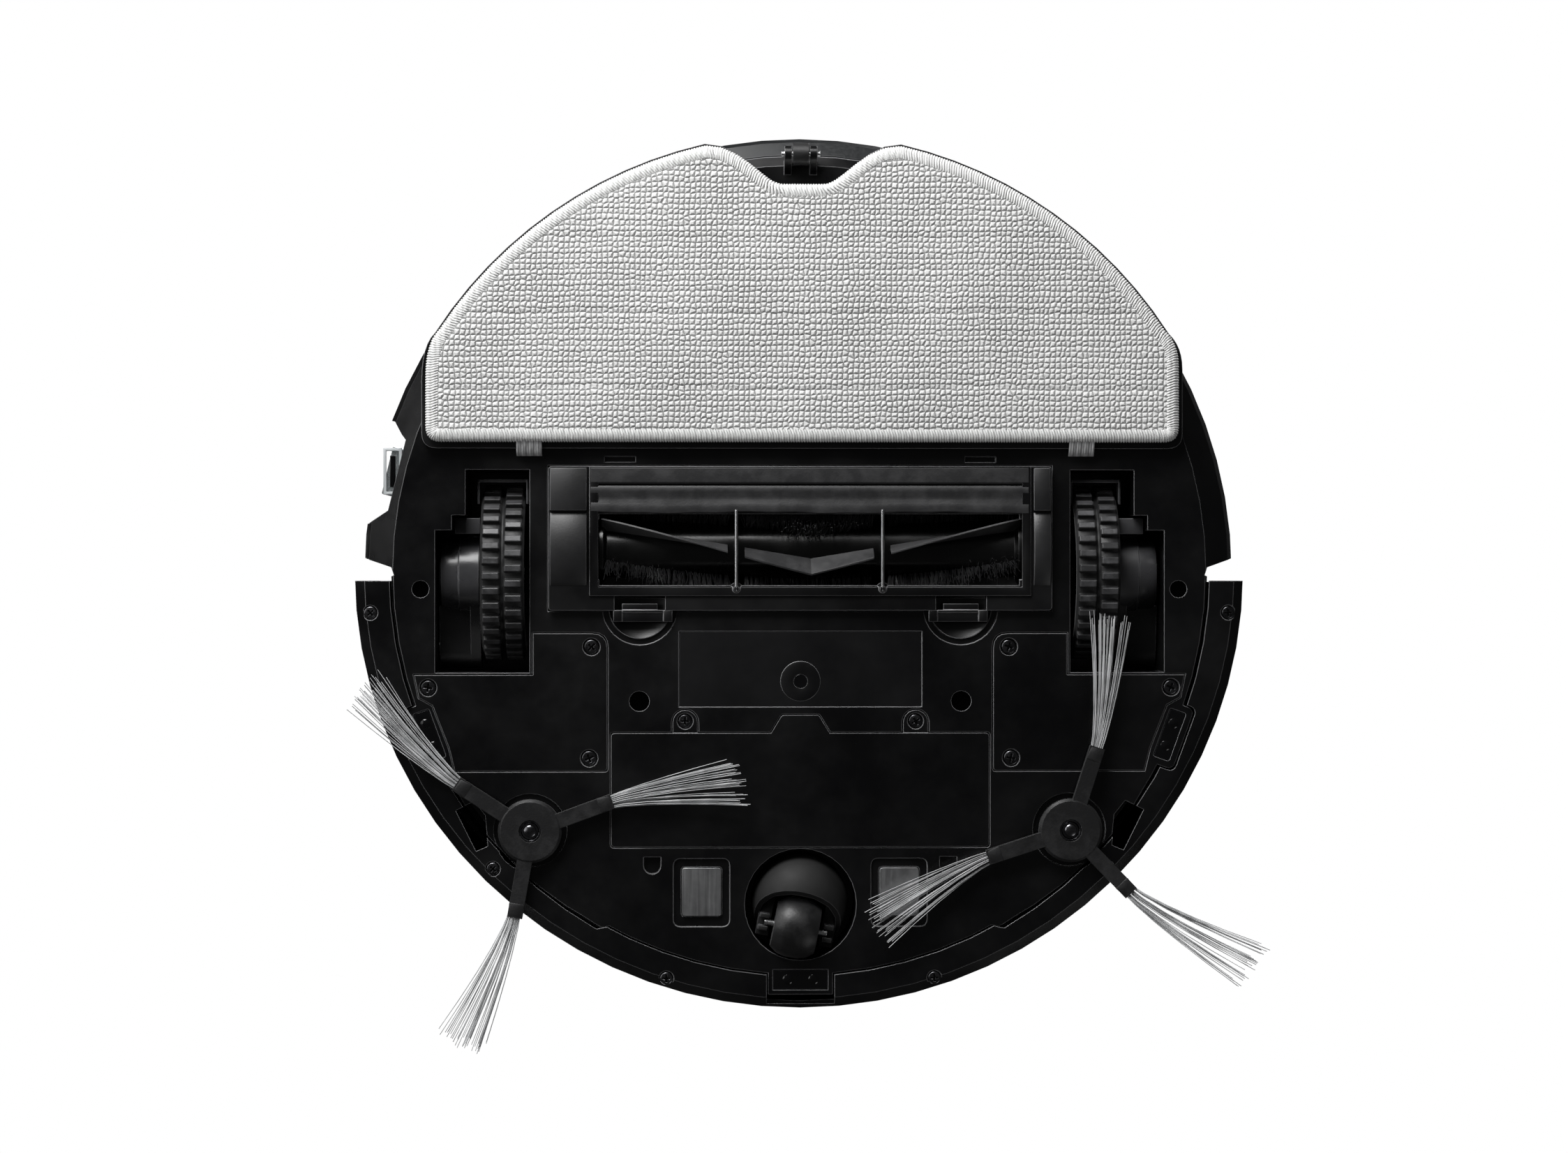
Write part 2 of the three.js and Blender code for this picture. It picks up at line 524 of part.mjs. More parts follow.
/** Strip screwed under the bumper; it slides below the chassis plate when the bumper gives. */
function bumperTrim() {
  let strip = bumperBand([[150, BUMPER.strip], [168.5, BUMPER.strip], [172.4, 11.5], [172.4, 13.1], [168, 9.9], [150, 9.9]]);
  const front = plate(outline(grown(FRONT_STEP, 0)), [0, TALL]);
  const wide = post(FLANGE_R + 0.6, [0, TALL], [0, 0], BODY_SIDES).subtract(front);
  strip = strip.subtract(wide).subtract(post(FRONT_R + 0.6, [0, TALL], [0, 0], BODY_SIDES));
  for (const side of [1, -1]) {
    const ear = turnedBox([side * CLIFF.x, CLIFF.y], [CLIFF.size[0] + 6.8, CLIFF.size[1] + 7.2], side * CLIFF.tilt, 3);
    strip = strip.subtract(plate(outline(ear), [0, TALL]));
    strip = strip.subtract(plate(outline(side > 0 ? GUIDE : mirrored(GUIDE)), [0, TALL]));
    strip = strip.subtract(post(SPIN.hub + 1, [0, TALL], [side * SPIN.x, SPIN.y - BUMPER.travel], 24));
    for (const [x, y] of STRIP_SCREWS) strip = strip.subtract(post(3, [0, BUMPER.strip + 0.8], [side * x, y], 16));
  }
  return strip.subtract(box([NOSE.x[0] - 2.8, NOSE.x[1] + 2.8], [-170.6, -150], [0, TALL]));
}

function wallSensorLens() {
  const lens = [[157.5, 49.1], [162, 30.1], [166.4, 31.2], [161.9, 50.2]];
  return plate(outline(lens.map(([x, y]) => [x, y, 0.6])), [24, 44], 2);
}

// ---- Inside pieces -----------------------------------------------------------------------

function fanHousing() {
  const [r, at] = [FAN.r, [FAN.x, FAN.y]];
  const low = 13.3;
  const profile = [[0, low], [r, low], [r, 46], [9, 46], [9, 44], [r - 2, 44], [r - 2, low + 2], [0, low + 2]];
  return solid(turned(profile, 28, at));
}

function fanImpeller() {
  const at = [FAN.x, FAN.y];
  let wheel = solid(turned([[0, 17], [17.5, 17], [17.5, 18.6], [6, 21], [4, 40], [0, 40]], 24, at));
  for (let i = 0; i < 7; i += 1) {
    const angle = (i * 360) / 7;
    const offset = new THREE.Vector2(10.5, 0).rotateAround(new THREE.Vector2(), THREE.MathUtils.degToRad(angle));
    const blade = turnedBox([at[0] + offset.x, at[1] + offset.y], [13, 1], angle + 24);
    wheel = wheel.add(plate(outline(blade), [18, 34]));
  }
  return wheel;
}

function dustbin() {
  const [x, t] = [BIN.x, BIN.wall];
  let bin = box([-x, x], BIN.y, BIN.z);
  bin = bin.subtract(box([-x + t, x - t], [BIN.y[0] + t, BIN.y[1] - t], [BIN.z[0] + t, BIN.z[1] - t]));
  bin = bin.subtract(box([-BIN.mouth, BIN.mouth], [BIN.y[0] - 1, BIN.y[0] + t + 1], [30, 44]));
  return bin.subtract(box([-x - 1, -x + t + 1], [60, 102], [24, 60]));
}

function dustFilter() {
  let filter = box([-BIN.x - 1.5, -BIN.x + 2.5], [60.4, 101.6], [24.4, 59.6]);
  for (let i = 0; i < 8; i += 1) {
    const y = 64 + i * 4.8;
    filter = filter.subtract(box([-BIN.x - 2, -BIN.x - 0.5], [y, y + 2.4], [27, 57]));
  }
  return filter;
}

/** Tank at the rear; its outer face carries on the round side of the robot. */
function waterTank() {
  const [low, high] = TANK.z;
  const skin = solid(turned([[0, low], [165.6, low], [171, 17.5], [BODY_R - GAP, 22], [BODY_R - GAP, high], [0, high]]));
  const room = solid(turned([
    [0, low + 2], [164.9, low + 2], [169.2, 18.9], [170.7, 22.6], [170.7, high - 2], [0, high - 2],
  ]));
  const [x, y, t] = [TANK.x, TANK.y, TANK.wall];
  const pocket = box([-16, 16], [162.8, 200], [55, 90]);
  const inside = room.intersect(box([-x + t, x - t], [y + t, 200], [0, TALL])).subtract(pocket);
  let tank = skin.intersect(box([-x, x], [y, 200], [0, TALL])).subtract(inside);
  tank = tank.subtract(box([-14, 14], [165, 200], [57, 67]));
  tank = tank.subtract(post(8.8, [high - 1.4, TALL], TANK.fill, 24));
  return tank.subtract(post(TANK.fillR, [60, TALL], TANK.fill, 20));
}

function tankPlug() {
  return post(TANK.fillR - GAP, [66.5, 70], TANK.fill, 20).add(post(8.4, [69.5, 70.5], TANK.fill, 24));
}

function tankLatch() {
  const face = post(BODY_R - 0.4, [57.4, 66.6], [0, 0], BODY_SIDES);
  return face.intersect(box([-13.6, 13.6], [168.2, 200], [50, 70]));
}

// ---- Main brush --------------------------------------------------------------------------

/** Roller with blades swept into a V, grooved where the guard wires pass. */
function mainRoller() {
  const shape = new THREE.Shape();
  for (let i = 0; i < BRUSH.blades; i += 1) {
    const middle = (i * 2 * Math.PI) / BRUSH.blades;
    const root = [BRUSH.core, 0.13];
    const tip = [BRUSH.r, 0.05];
    for (const [radius, spread] of [[root[0], -root[1]], [tip[0], -tip[1]], tip, root]) {
      const [x, y] = [radius * Math.cos(middle + spread), radius * Math.sin(middle + spread)];
      if (i === 0 && spread === -root[1]) shape.moveTo(x, y);
      else shape.lineTo(x, y);
    }
  }
  shape.closePath();
  const length = BRUSH.x[1] - BRUSH.x[0];
  const geometry = new THREE.ExtrudeGeometry(shape, { depth: length, steps: 6, bevelEnabled: false });
  const at = geometry.attributes.position;
  const point = new THREE.Vector3();
  const along = new THREE.Vector3(0, 0, 1);
  for (let i = 0; i < at.count; i += 1) {
    point.fromBufferAttribute(at, i);
    const sweep = Math.abs(point.z / length - 0.5) * 2 * BRUSH.turn;
    point.applyAxisAngle(along, sweep);
    at.setXYZ(i, point.z + BRUSH.x[0], point.x + BRUSH.y, point.y + BRUSH.z);
  }
  let roller = solid(geometry);
  const axis = [BRUSH.y, BRUSH.z];
  for (const x of GUARD.at) {
    const reach = [x - GUARD.groove, x + GUARD.groove];
    roller = roller.subtract(bar(BRUSH.r + 2, reach, axis, 16).subtract(bar(GUARD.grooveR, reach, axis, 16)));
  }
  return roller.add(bar(BRUSH.core - 0.6, BRUSH.x, axis, 16)).add(bar(BRUSH.shaft, [-96, 87], axis, 16));
}

function brushCover() {
  const [low, high] = COVER.z;
  const half = (corners) => plate(outline(corners), [low, high]);
  let cover = half([
    [COVER.x[0], COVER.y[0], 1.5], [COVER.x[0], COVER.y[1], 1.5],
    [COVER.x[1], COVER.y[1], 1.5], [COVER.x[1], COVER.y[0], 1.5],
  ]);
  cover = cover.subtract(box(COVER.open, [-5.2, 23], [0, TALL]));
  cover = cover.subtract(bar(BRUSH.r + 0.6, [-91, 82.5], [BRUSH.y, BRUSH.z], 32));
  cover = cover.subtract(box([-90.6, 83.2], [23, 50], [low - 1, low + 1.4]));
  for (const side of [-1, 1]) {
    const reach = [side * LATCH.x - LATCH.half - 0.4, side * LATCH.x + LATCH.half + 0.4];
    cover = cover.subtract(box(reach, [-20, LATCH.y[1] + LATCH.press + 0.4], [low - 1, TALL]));
  }
  for (const x of GUARD.at) cover = cover.subtract(box([x - 1, x + 1], [GUARD.y[0] - 0.2, GUARD.y[1] + 0.2], [5, low + 0.2]));
  return cover;
}

/** Two soft lips that close the rear of the brush opening. */
function coverLips() {
  const low = COVER.z[0] - 1.2;
  let lips = slab(outline([[25, low + 0.9, 0.6], [25, 8.3], [41.4, 8.3], [41.4, low + 1.2, 0.6], [33.6, low, 0.8]]), [-90.2, 82.8], 3);
  lips = lips.subtract(box([-95, 90], [34, 35], [low - 1, low + 1.6]));
  return lips;
}

function guardWire(x) {
  return rail(GUARD.r, GUARD.y, [x, GUARD.z], 10);
}

function coverLatch() {
  const [low, high] = COVER.z;
  const x = [LATCH.x - LATCH.half, LATCH.x + LATCH.half];
  const tab = box(x, LATCH.y, [low + 0.4, high - 0.6]);
  return tab.subtract(box([x[0] + 2, x[1] - 2], [LATCH.y[0] - 1, LATCH.y[1] - 2], [low - 1, low + 1.6]));
}

function brushGearbox() {
  const room = box([85.6, 99.4], [-12.8, 35.8], [13.9, 46]);
  return room.subtract(bar(BRUSH.shaft + 0.3, [80, 88], [BRUSH.y, BRUSH.z], 16));
}

// ---- Drive wheels (built at +X) ----------------------------------------------------------

function wheelArm() {
  const axle = [WHEEL.y, WHEEL.z];
  const pivot = [PIVOT.y, PIVOT.z];
  let arm = slab(belt([...axle, MOTOR.r - 0.3], [...pivot, PIVOT.r]), ARM_X, 8);
  const lever = slab(belt([-14, 36, 8], [...pivot, PIVOT.r]), [ARM_X[1] - 0.2, MOTOR.x[1]], 8);
  arm = arm.add(lever.subtract(bar(MOTOR.r + 0.3, [ARM_X[1], 150], axle, 24)));
  arm = arm.add(bar(PIVOT.pin, [MOTOR.x[1] - 1, 147], pivot, 16));
  return arm.add(bar(WHEEL.axle, [WHEEL.x[0] + 0.8, ARM_X[0] + 1], axle, 16));
}

function wheelMotor() {
  const at = [WHEEL.y, WHEEL.z];
  const body = bar(MOTOR.r, [MOTOR.x[0], 140], at, 24);
  return body.add(bar(MOTOR.r - 4, [139, MOTOR.x[1]], at, 24));
}

function wheelHub() {
  const middle = (WHEEL.x[0] + WHEEL.x[1]) / 2;
  const rim = WHEEL.rim - GAP;
  const bore = WHEEL.axle + 0.12;
  return wheelTurned(
    [
      [bore, middle - 7], [8, middle - 7], [12, middle - 4], [24, middle - 4], [26, middle - 7],
      [rim, middle - 7], [rim, middle + 7], [bore, middle + 7],
    ],
    24,
    [WHEEL.y, WHEEL.z],
  );
}

function tyre() {
  const [a, b] = WHEEL.x;
  const middle = (a + b) / 2;
  const [r, rim] = [WHEEL.r, WHEEL.rim];
  return wheelTurned(
    [
      [rim, a], [r - 1.6, a], [r, a + 1.4], [r, middle - 1], [r - 1.8, middle],
      [r, middle + 1], [r, b - 1.4], [r - 1.6, b], [rim, b],
    ],
    WHEEL.sides,
    [WHEEL.y, WHEEL.z],
  );
}

// ---- Side brushes ------------------------------------------------------------------------

function sideBrushMotor() {
  return post(9.4, [13.4, 36], [SPIN.x, SPIN.y], 24).add(post(5, [35, 40], [SPIN.x, SPIN.y], 12));
}

/** Hub with three soft arms; angles in degrees from +X. */
function sideBrushHub(x, angles) {
  const at = [x, SPIN.y];
  let hub = solid(turned([[0, 4.4], [SPIN.hub - 1, 4.4], [SPIN.hub, 5.4], [SPIN.hub, 7.6], [9, 8.6], [9, 11.6], [0, 11.6]], 32, at));
  hub = hub.add(post(4, [10, 13], at, 16)).subtract(post(4.4, [0, 6.6], at, 16));
  for (const degrees of angles) {
    const angle = THREE.MathUtils.degToRad(degrees);
    const middle = (SPIN.arm + 8) / 2;
    const centre = [x + middle * Math.cos(angle), SPIN.y + middle * Math.sin(angle)];
    const arm = turnedBox(centre, [SPIN.arm - 8, 6], degrees);
    hub = hub.add(plate(outline(arm), [4.7, 7.8]).subtract(post(4.8, [0, 20], at, 16)));
  }
  return hub;
}

/** Stiff inner part of one fanned tuft. */
function tuft(x, degrees) {
  const angle = THREE.MathUtils.degToRad(degrees);
  const turn = new THREE.Matrix4().makeRotationZ(angle);
  const near = SPIN.arm + GAP;
  const shape = outline([[near, -1.8], [near, 1.8], [SPIN.tuft, 5], [SPIN.tuft, -5]]);
  const geometry = new THREE.ExtrudeGeometry(shape, { depth: 1.5, bevelEnabled: false });
  const at = geometry.attributes.position;
  for (let i = 0; i < at.count; i += 1) {
    const out = (at.getX(i) - near) / (SPIN.tuft - near);
    at.setZ(i, at.getZ(i) + 4.9 - 3.9 * out);
  }
  geometry.applyMatrix4(turn);
  geometry.translate(x, SPIN.y, 0);
  return solid(geometry);
}

// ---- Caster, trailing roller, covers, mop ------------------------------------------------

/** Manifold turned about the caster's upright axis, from a builder that works at the origin. */
function casterPlaced(geometry) {
  geometry.rotateZ(THREE.MathUtils.degToRad(CASTER.turn));
  geometry.translate(CASTER.x, CASTER.y, 0);
  return solid(geometry);
}

function casterBox(x, y, z) {
  const geometry = new THREE.BoxGeometry(x[1] - x[0], y[1] - y[0], z[1] - z[0]);
  geometry.translate((x[0] + x[1]) / 2, (y[0] + y[1]) / 2, (z[0] + z[1]) / 2);
  return casterPlaced(geometry);
}

function casterBar(radius, half, sides) {
  const geometry = new THREE.CylinderGeometry(radius, radius, 2 * half, sides);
  geometry.rotateZ(Math.PI / 2);
  geometry.translate(0, -CASTER.trail, CASTER.wheel);
  return casterPlaced(geometry);
}

/** Domed swivel with an open front and two snap slots for the axle. */
function casterFork() {
  const r = CASTER.r;
  const hood = casterPlaced(turned(
    [[0, 3.4], [7, 4.1], [13, 6.2], [18, 10], [r - 0.6, 14], [r, 18], [r, 34.5], [4, 34.5], [4, 38], [0, 38]],
    36,
  ));
  const wheelRoom = casterBox([-CASTER.half - 0.6, CASTER.half + 0.6], [-30, 3.4], [-1, 25.5]);
  const frontCut = casterBox([-30, 30], [-30, -2.4], [-1, 9.6]);
  const slot = casterBox([-14, 14], [-CASTER.trail - 1.4, -CASTER.trail + 1.4], [-1, CASTER.wheel + 1.5]);
  return hood.subtract(wheelRoom).subtract(frontCut).subtract(slot);
}

function casterWheel() {
  const [r, half] = [CASTER.wheel, CASTER.half];
  const profile = [
    [1.4, -half], [9, -half], [11.2, -half + 3], [r, -2.6], [r, 2.6],
    [11.2, half - 3], [9, half], [1.4, half], [1.4, -half],
  ];
  const points = profile.map(([radius, x]) => new THREE.Vector2(radius, x));
  const geometry = new THREE.LatheGeometry(points, 28);
  geometry.rotateZ(-Math.PI / 2);
  geometry.translate(0, -CASTER.trail, CASTER.wheel);
  return casterPlaced(geometry);
}

function trailRoller() {
  const [x, half, r] = [TRAIL.x, TRAIL.half, TRAIL.r];
  const bore = TRAIL.axle + 0.1;
  return wheelTurned([[bore, x - half], [r, x - half], [r, x + half], [bore, x + half]], 24, [TRAIL.y, r]);
}

function trailAxle() {
  return bar(TRAIL.axle, [TRAIL.x - TRAIL.span, TRAIL.x + TRAIL.span], [TRAIL.y, TRAIL.r], 12);
}

/** Counterbores for case screws at these places, from below up to a height. */
function screwSeats(places, top, radius = SCREW.r) {
  return places.map((at) => post(radius, [0, top], at, 20)).reduce((all, one) => all.add(one));
}

function moduleCover() {
  const seats = screwSeats(MODULE_SCREWS, 9.6 + SCREW.deep);
  return plate(outline(MODULE), [9.6, 11.6]).subtract(dishes()).subtract(seats);
}

function batteryCover() {
  let cover = plate(outline(BATTERY_COVER), [9.6, 11.6]);
  for (const x of [-LUG_X, LUG_X]) {
    cover = cover.add(post(4.9, [9.9, 11.6], [x, -59.4], 20)).add(box([x - 4.9, x + 4.9], [-64, -59.4], [9.9, 11.6]));
  }
  return cover.subtract(dishes()).subtract(screwSeats([[-LUG_X, -58.9], [LUG_X, -58.9]], 11, 3.2));
}

function cliffSensor(side) {
  const corners = turnedBox([side * CLIFF.x, CLIFF.y], CLIFF.size, side * CLIFF.tilt, 1);
  return plate(outline(corners), [FLOOR_Z + 0.2, FLOOR_Z + 1.7]);
}

function contact(x) {
  return plate(outline(turnedBox([x, CONTACT.y], CONTACT.size, 0, 1.2)), [FLOOR_Z - 0.2, FLOOR_Z + 1.8], 3);
}

// ---- Assembly ----------------------------------------------------------------------------

add("base_chassis", baseChassis(), "body_black");
add("top_shell", topShell(), "trim_black");
add("lidar_cap", lidarCap(), "trim_black");
add("lidar_rotor", lidarRotor(), "inner_grey");
add("power_button", button(-76), "trim_black");
add("dock_button", button(-104), "trim_black");
add("bumper_shell", bumperShell(), "body_black");
add("bumper_trim", bumperTrim(), "body_black");
add("bumper_window", bumperWindow(), "dark_lens");
add("wall_sensor_lens", wallSensorLens(), "clear_lens");
add("mainboard", box([-60, 60], [-118, -44], [54, 55.6]), "board_green");
add("battery_pack", box([-BATTERY.x, BATTERY.x], BATTERY.y, BATTERY.z), "inner_grey");
add("battery_cover", batteryCover(), "body_black");
add("fan_housing", fanHousing(), "inner_grey");
add("fan_impeller", fanImpeller(), "inner_grey");
add("dustbin", dustbin(), "tank_tint");
add("dust_filter", dustFilter(), "filter_paper");
add("water_tank", waterTank(), "tank_tint");
add("tank_plug", tankPlug(), "soft_rubber");
add("tank_latch", tankLatch(), "trim_black");
add("main_brush_roller", mainRoller(), "soft_rubber");
add("brush_cover", brushCover(), "trim_black");
add("cover_lips", coverLips(), "soft_rubber");
add("brush_gearbox", brushGearbox(), "inner_grey");
GUARD.at.forEach((x, i) => add(`guard_wire_${i + 1}`, guardWire(x), "steel"));
for (const [side, tag] of [[1, "left"], [-1, "right"]]) {
  add(`cover_latch_${tag}`, coverLatch(), "trim_black", side);
  add(`wheel_arm_${tag}`, wheelArm(), "trim_black", side);
  add(`wheel_motor_${tag}`, wheelMotor(), "inner_grey", side);
  add(`wheel_hub_${tag}`, wheelHub(), "inner_grey", side);
  add(`tyre_${tag}`, tyre(), "tyre_rubber", side);
  add(`module_cover_${tag}`, moduleCover(), "body_black", side);
  add(`side_brush_motor_${tag}`, sideBrushMotor(), "inner_grey", side);
  add(`cliff_sensor_${tag}`, cliffSensor(side), "dark_lens");
  const x = side * SPIN.x;
  add(`side_brush_hub_${tag}`, sideBrushHub(x, SPIN_ANGLES[tag]), "soft_rubber");
  SPIN_ANGLES[tag].forEach((degrees, i) => add(`tuft_${tag}_${i + 1}`, tuft(x, degrees), "bristle_nylon"));
}
CONTACT.at.forEach((x, i) => add(`charge_contact_${i + 1}`, contact(x), "contact_chrome"));
add("caster_fork", casterFork(), "trim_black");
add("caster_wheel", casterWheel(), "soft_rubber");
add("caster_axle", casterBar(1.25, 12.6, 12), "steel");
add("cliff_sensor_front", box(NOSE.x, NOSE.y, [FLOOR_Z + 0.2, FLOOR_Z + 1.7]), "dark_lens");
add("trail_roller", trailRoller(), "soft_rubber");
add("trail_axle", trailAxle(), "steel");
add("mop_plate", plate(mopOutline(1.6, MOP.edge - 2.4), MOP.plate, 6), "trim_black");
add("mop_cloth", plate(mopOutline(0, MOP.edge), MOP.z, 6), "cloth_white");

export default root;
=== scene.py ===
import math
import random

import bmesh
import bpy
import numpy as np
from mathutils import Matrix, Vector


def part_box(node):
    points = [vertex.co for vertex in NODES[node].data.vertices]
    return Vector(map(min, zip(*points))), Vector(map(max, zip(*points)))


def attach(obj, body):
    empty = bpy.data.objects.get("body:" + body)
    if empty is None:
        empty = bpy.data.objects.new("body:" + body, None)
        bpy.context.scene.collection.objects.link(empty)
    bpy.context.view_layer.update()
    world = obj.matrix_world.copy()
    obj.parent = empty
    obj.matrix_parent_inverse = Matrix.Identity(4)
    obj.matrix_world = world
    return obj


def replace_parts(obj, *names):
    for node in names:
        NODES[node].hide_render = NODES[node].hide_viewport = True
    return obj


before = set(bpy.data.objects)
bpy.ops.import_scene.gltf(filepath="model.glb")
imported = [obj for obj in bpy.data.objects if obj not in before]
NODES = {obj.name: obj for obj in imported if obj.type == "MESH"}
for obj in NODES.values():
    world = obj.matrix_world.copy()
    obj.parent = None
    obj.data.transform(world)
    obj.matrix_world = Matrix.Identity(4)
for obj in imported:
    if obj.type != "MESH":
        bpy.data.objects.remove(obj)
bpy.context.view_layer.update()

# Robot vacuum with a mop, seen from below. Metres, +Z up, front towards -Y, wheels on z = 0.
# Lengths in the functions are millimetres, and MM turns them to metres.
MM = 0.001
X_AXIS = (1, 0, 0)
SIDES = ((1, "left"), (-1, "right"))
FOLD = 28  # degrees: CAD edges that turn more than this stay sharp
LOOP = 2.15  # towelling loop pitch, along a row and from row to row


# ---- Materials ---------------------------------------------------------------------------

def linear(code):
    """sRGB hex colour as linear RGBA."""
    parts = [int(code[i:i + 2], 16) / 255 for i in (1, 3, 5)]
    return (*[c / 12.92 if c <= 0.04045 else ((c + 0.055) / 1.055) ** 2.4 for c in parts], 1.0)


def add(tree, kind, inputs=None, **settings):
    """Adds a node: inputs are values, nodes or sockets by input name or number."""
    made = tree.nodes.new(kind if "Node" in kind else "ShaderNode" + kind)
    for name, value in settings.items():
        setattr(made, name, value)
    for name, value in (inputs or {}).items():
        socket = made.inputs[name]
        if isinstance(value, bpy.types.Node):
            value = value.outputs[0]
        if isinstance(value, bpy.types.NodeSocket):
            tree.links.new(value, socket)
        else:
            socket.default_value = value
    return made


def new_material(name):
    """Empty material, its node tree and its object coordinates in metres."""
    material = bpy.data.materials.new(name)
    material.use_nodes = True
    tree = material.node_tree
    tree.nodes.clear()
    return material, tree, add(tree, "TexCoord").outputs["Object"]


def finish_with(material, inputs):
    shader = add(material.node_tree, "BsdfPrincipled", inputs)
    add(material.node_tree, "OutputMaterial", {"Surface": shader})
    return material


def moulded(name, colour, worn, roughness, grain_mm, depth_mm, edge_mm=0.45, spread=0.1):
    """Injection-moulded plastic: spark-eroded grain, rounded edges with a painted light highlight along them,
    faint handling marks.
    """
    material, tree, at = new_material(name)
    fine = add(tree, "TexNoise", {"Vector": at, "Scale": 1000 / grain_mm, "Detail": 3, "Roughness": 0.6})
    marks = add(tree, "TexNoise", {"Vector": at, "Scale": 1000 / 34, "Detail": 4, "Roughness": 0.6})
    rounded = add(tree, "Bevel", {"Radius": edge_mm * MM}, samples=4)
    facing = add(tree, "NewGeometry").outputs["Normal"]
    off = add(tree, "VectorMath", {0: rounded, 1: facing}, operation="DOT_PRODUCT").outputs["Value"]
    # Where the rounded edge turns away from the face, the colour goes towards the light grey: a painted
    # highlight along every edge.
    edge = add(tree, "MapRange", {0: off, 1: 0.985, 2: 0.86})
    patch = add(tree, "MapRange", {0: marks, 1: 0.35, 2: 0.65})
    first, second = linear(colour[0]), linear(colour[1])
    mottled = add(tree, "Mix", {0: patch, 6: first, 7: second}, data_type="RGBA").outputs[2]
    base = add(tree, "Mix", {0: edge, 6: mottled, 7: linear(worn)}, data_type="RGBA").outputs[2]
    rough = add(tree, "MapRange", {0: marks, 1: 0.3, 2: 0.7, 3: roughness - spread, 4: roughness + spread})
    bumped = add(tree, "Bump", {
        "Height": fine, "Distance": depth_mm * MM, "Strength": 0.6, "Normal": rounded,
    })
    return finish_with(material, {"Base Color": base, "Roughness": rough, "IOR": 1.53, "Normal": bumped})


def elastomer(name, colour, dusty, roughness, speck_mm=0.9):
    """Moulded rubber: matt, with a dry bloom in patches and a slightly pitted skin."""
    material, tree, at = new_material(name)
    cloud = add(tree, "TexNoise", {"Vector": at, "Scale": 1000 / 9, "Detail": 5, "Roughness": 0.65})
    bloom = add(tree, "MapRange", {0: cloud, 1: 0.42, 2: 0.68})
    pits = add(tree, "TexNoise", {"Vector": at, "Scale": 1000 / speck_mm, "Detail": 3, "Roughness": 0.6})
    base = add(tree, "Mix", {0: bloom, 6: linear(colour), 7: linear(dusty)}, data_type="RGBA").outputs[2]
    rounded = add(tree, "Bevel", {"Radius": 0.4 * MM}, samples=4)
    bumped = add(tree, "Bump", {"Height": pits, "Distance": 0.12 * MM, "Strength": 0.5, "Normal": rounded})
    rough = add(tree, "MapRange", {0: bloom, 3: roughness, 4: min(1.0, roughness + 0.15)})
    return finish_with(material, {
        "Base Color": base, "Roughness": rough, "IOR": 1.52, "Normal": bumped,
        "Sheen Weight": 0.08, "Sheen Roughness": 0.5,
    })


def painted_shade_black(name, colour, light):
    """Painted shade: flat black speckled with foam-like cells, no gloss at all."""
    material, tree, at = new_material(name)
    cells = add(tree, "TexNoise", {"Vector": at, "Scale": 1000 / 0.6, "Detail": 3, "Roughness": 0.6})
    base = add(tree, "Mix", {0: cells, 6: linear(colour), 7: linear(light)}, data_type="RGBA").outputs[2]
    bumped = add(tree, "Bump", {"Height": cells, "Distance": 0.2 * MM, "Strength": 0.5})
    return finish_with(material, {
        "Base Color": base, "Roughness": 1.0, "Normal": bumped, "Specular IOR Level": 0.0,
    })


def metal(name, colour, dull, roughness, lines_mm, along):
    """Plated or drawn metal: fine lines stretched along one axis, small changes of polish."""
    material, tree, at = new_material(name)
    stretch = [1000 / lines_mm] * 3
    stretch[along] = 1000 / (lines_mm * 30)
    drawn = add(tree, "Mapping", {"Vector": at, "Scale": stretch})
    lines = add(tree, "TexNoise", {"Vector": drawn, "Scale": 1.0, "Detail": 3})
    cloudy = add(tree, "TexNoise", {"Vector": at, "Scale": 1000 / 6, "Detail": 3, "Roughness": 0.6})
    patch = add(tree, "MapRange", {0: cloudy, 1: 0.35, 2: 0.65})
    base = add(tree, "Mix", {0: patch, 6: linear(colour), 7: linear(dull)}, data_type="RGBA").outputs[2]
    rough = add(tree, "MapRange", {0: lines, 1: 0.3, 2: 0.7, 3: roughness * 0.85, 4: roughness * 1.15})
    rounded = add(tree, "Bevel", {"Radius": 0.4 * MM}, samples=4)
    bumped = add(tree, "Bump", {"Height": lines, "Distance": 0.01 * MM, "Strength": 0.25, "Normal": rounded})
    return finish_with(material, {"Base Color": base, "Metallic": 1.0, "Roughness": rough, "Normal": bumped})


def clear_plastic(name, tint, roughness, through):
    """Polycarbonate window or tank wall: flow lines from moulding and a few fine scratches."""
    material, tree, at = new_material(name)
    flow = add(tree, "TexNoise", {"Vector": at, "Scale": 1000 / 12, "Detail": 3, "Roughness": 0.6})
    scratch = add(tree, "TexNoise", {"Vector": at, "Scale": 1000 / 1.6, "Detail": 4, "Roughness": 0.6})
    rounded = add(tree, "Bevel", {"Radius": 0.4 * MM}, samples=4)
    bumped = add(tree, "Bump", {"Height": flow, "Distance": 0.15 * MM, "Strength": 0.4, "Normal": rounded})
    rough = add(tree, "MapRange", {0: scratch, 1: 0.4, 2: 0.75, 3: roughness, 4: roughness + 0.12})
    patch = add(tree, "MapRange", {0: flow, 1: 0.3, 2: 0.7})
    first, second = linear(tint[0]), linear(tint[1])
    base = add(tree, "Mix", {0: patch, 6: first, 7: second}, data_type="RGBA").outputs[2]
    return finish_with(material, {
        "Base Color": base, "Roughness": rough, "IOR": 1.585, "Normal": bumped,
        "Transmission Weight": through,
    })


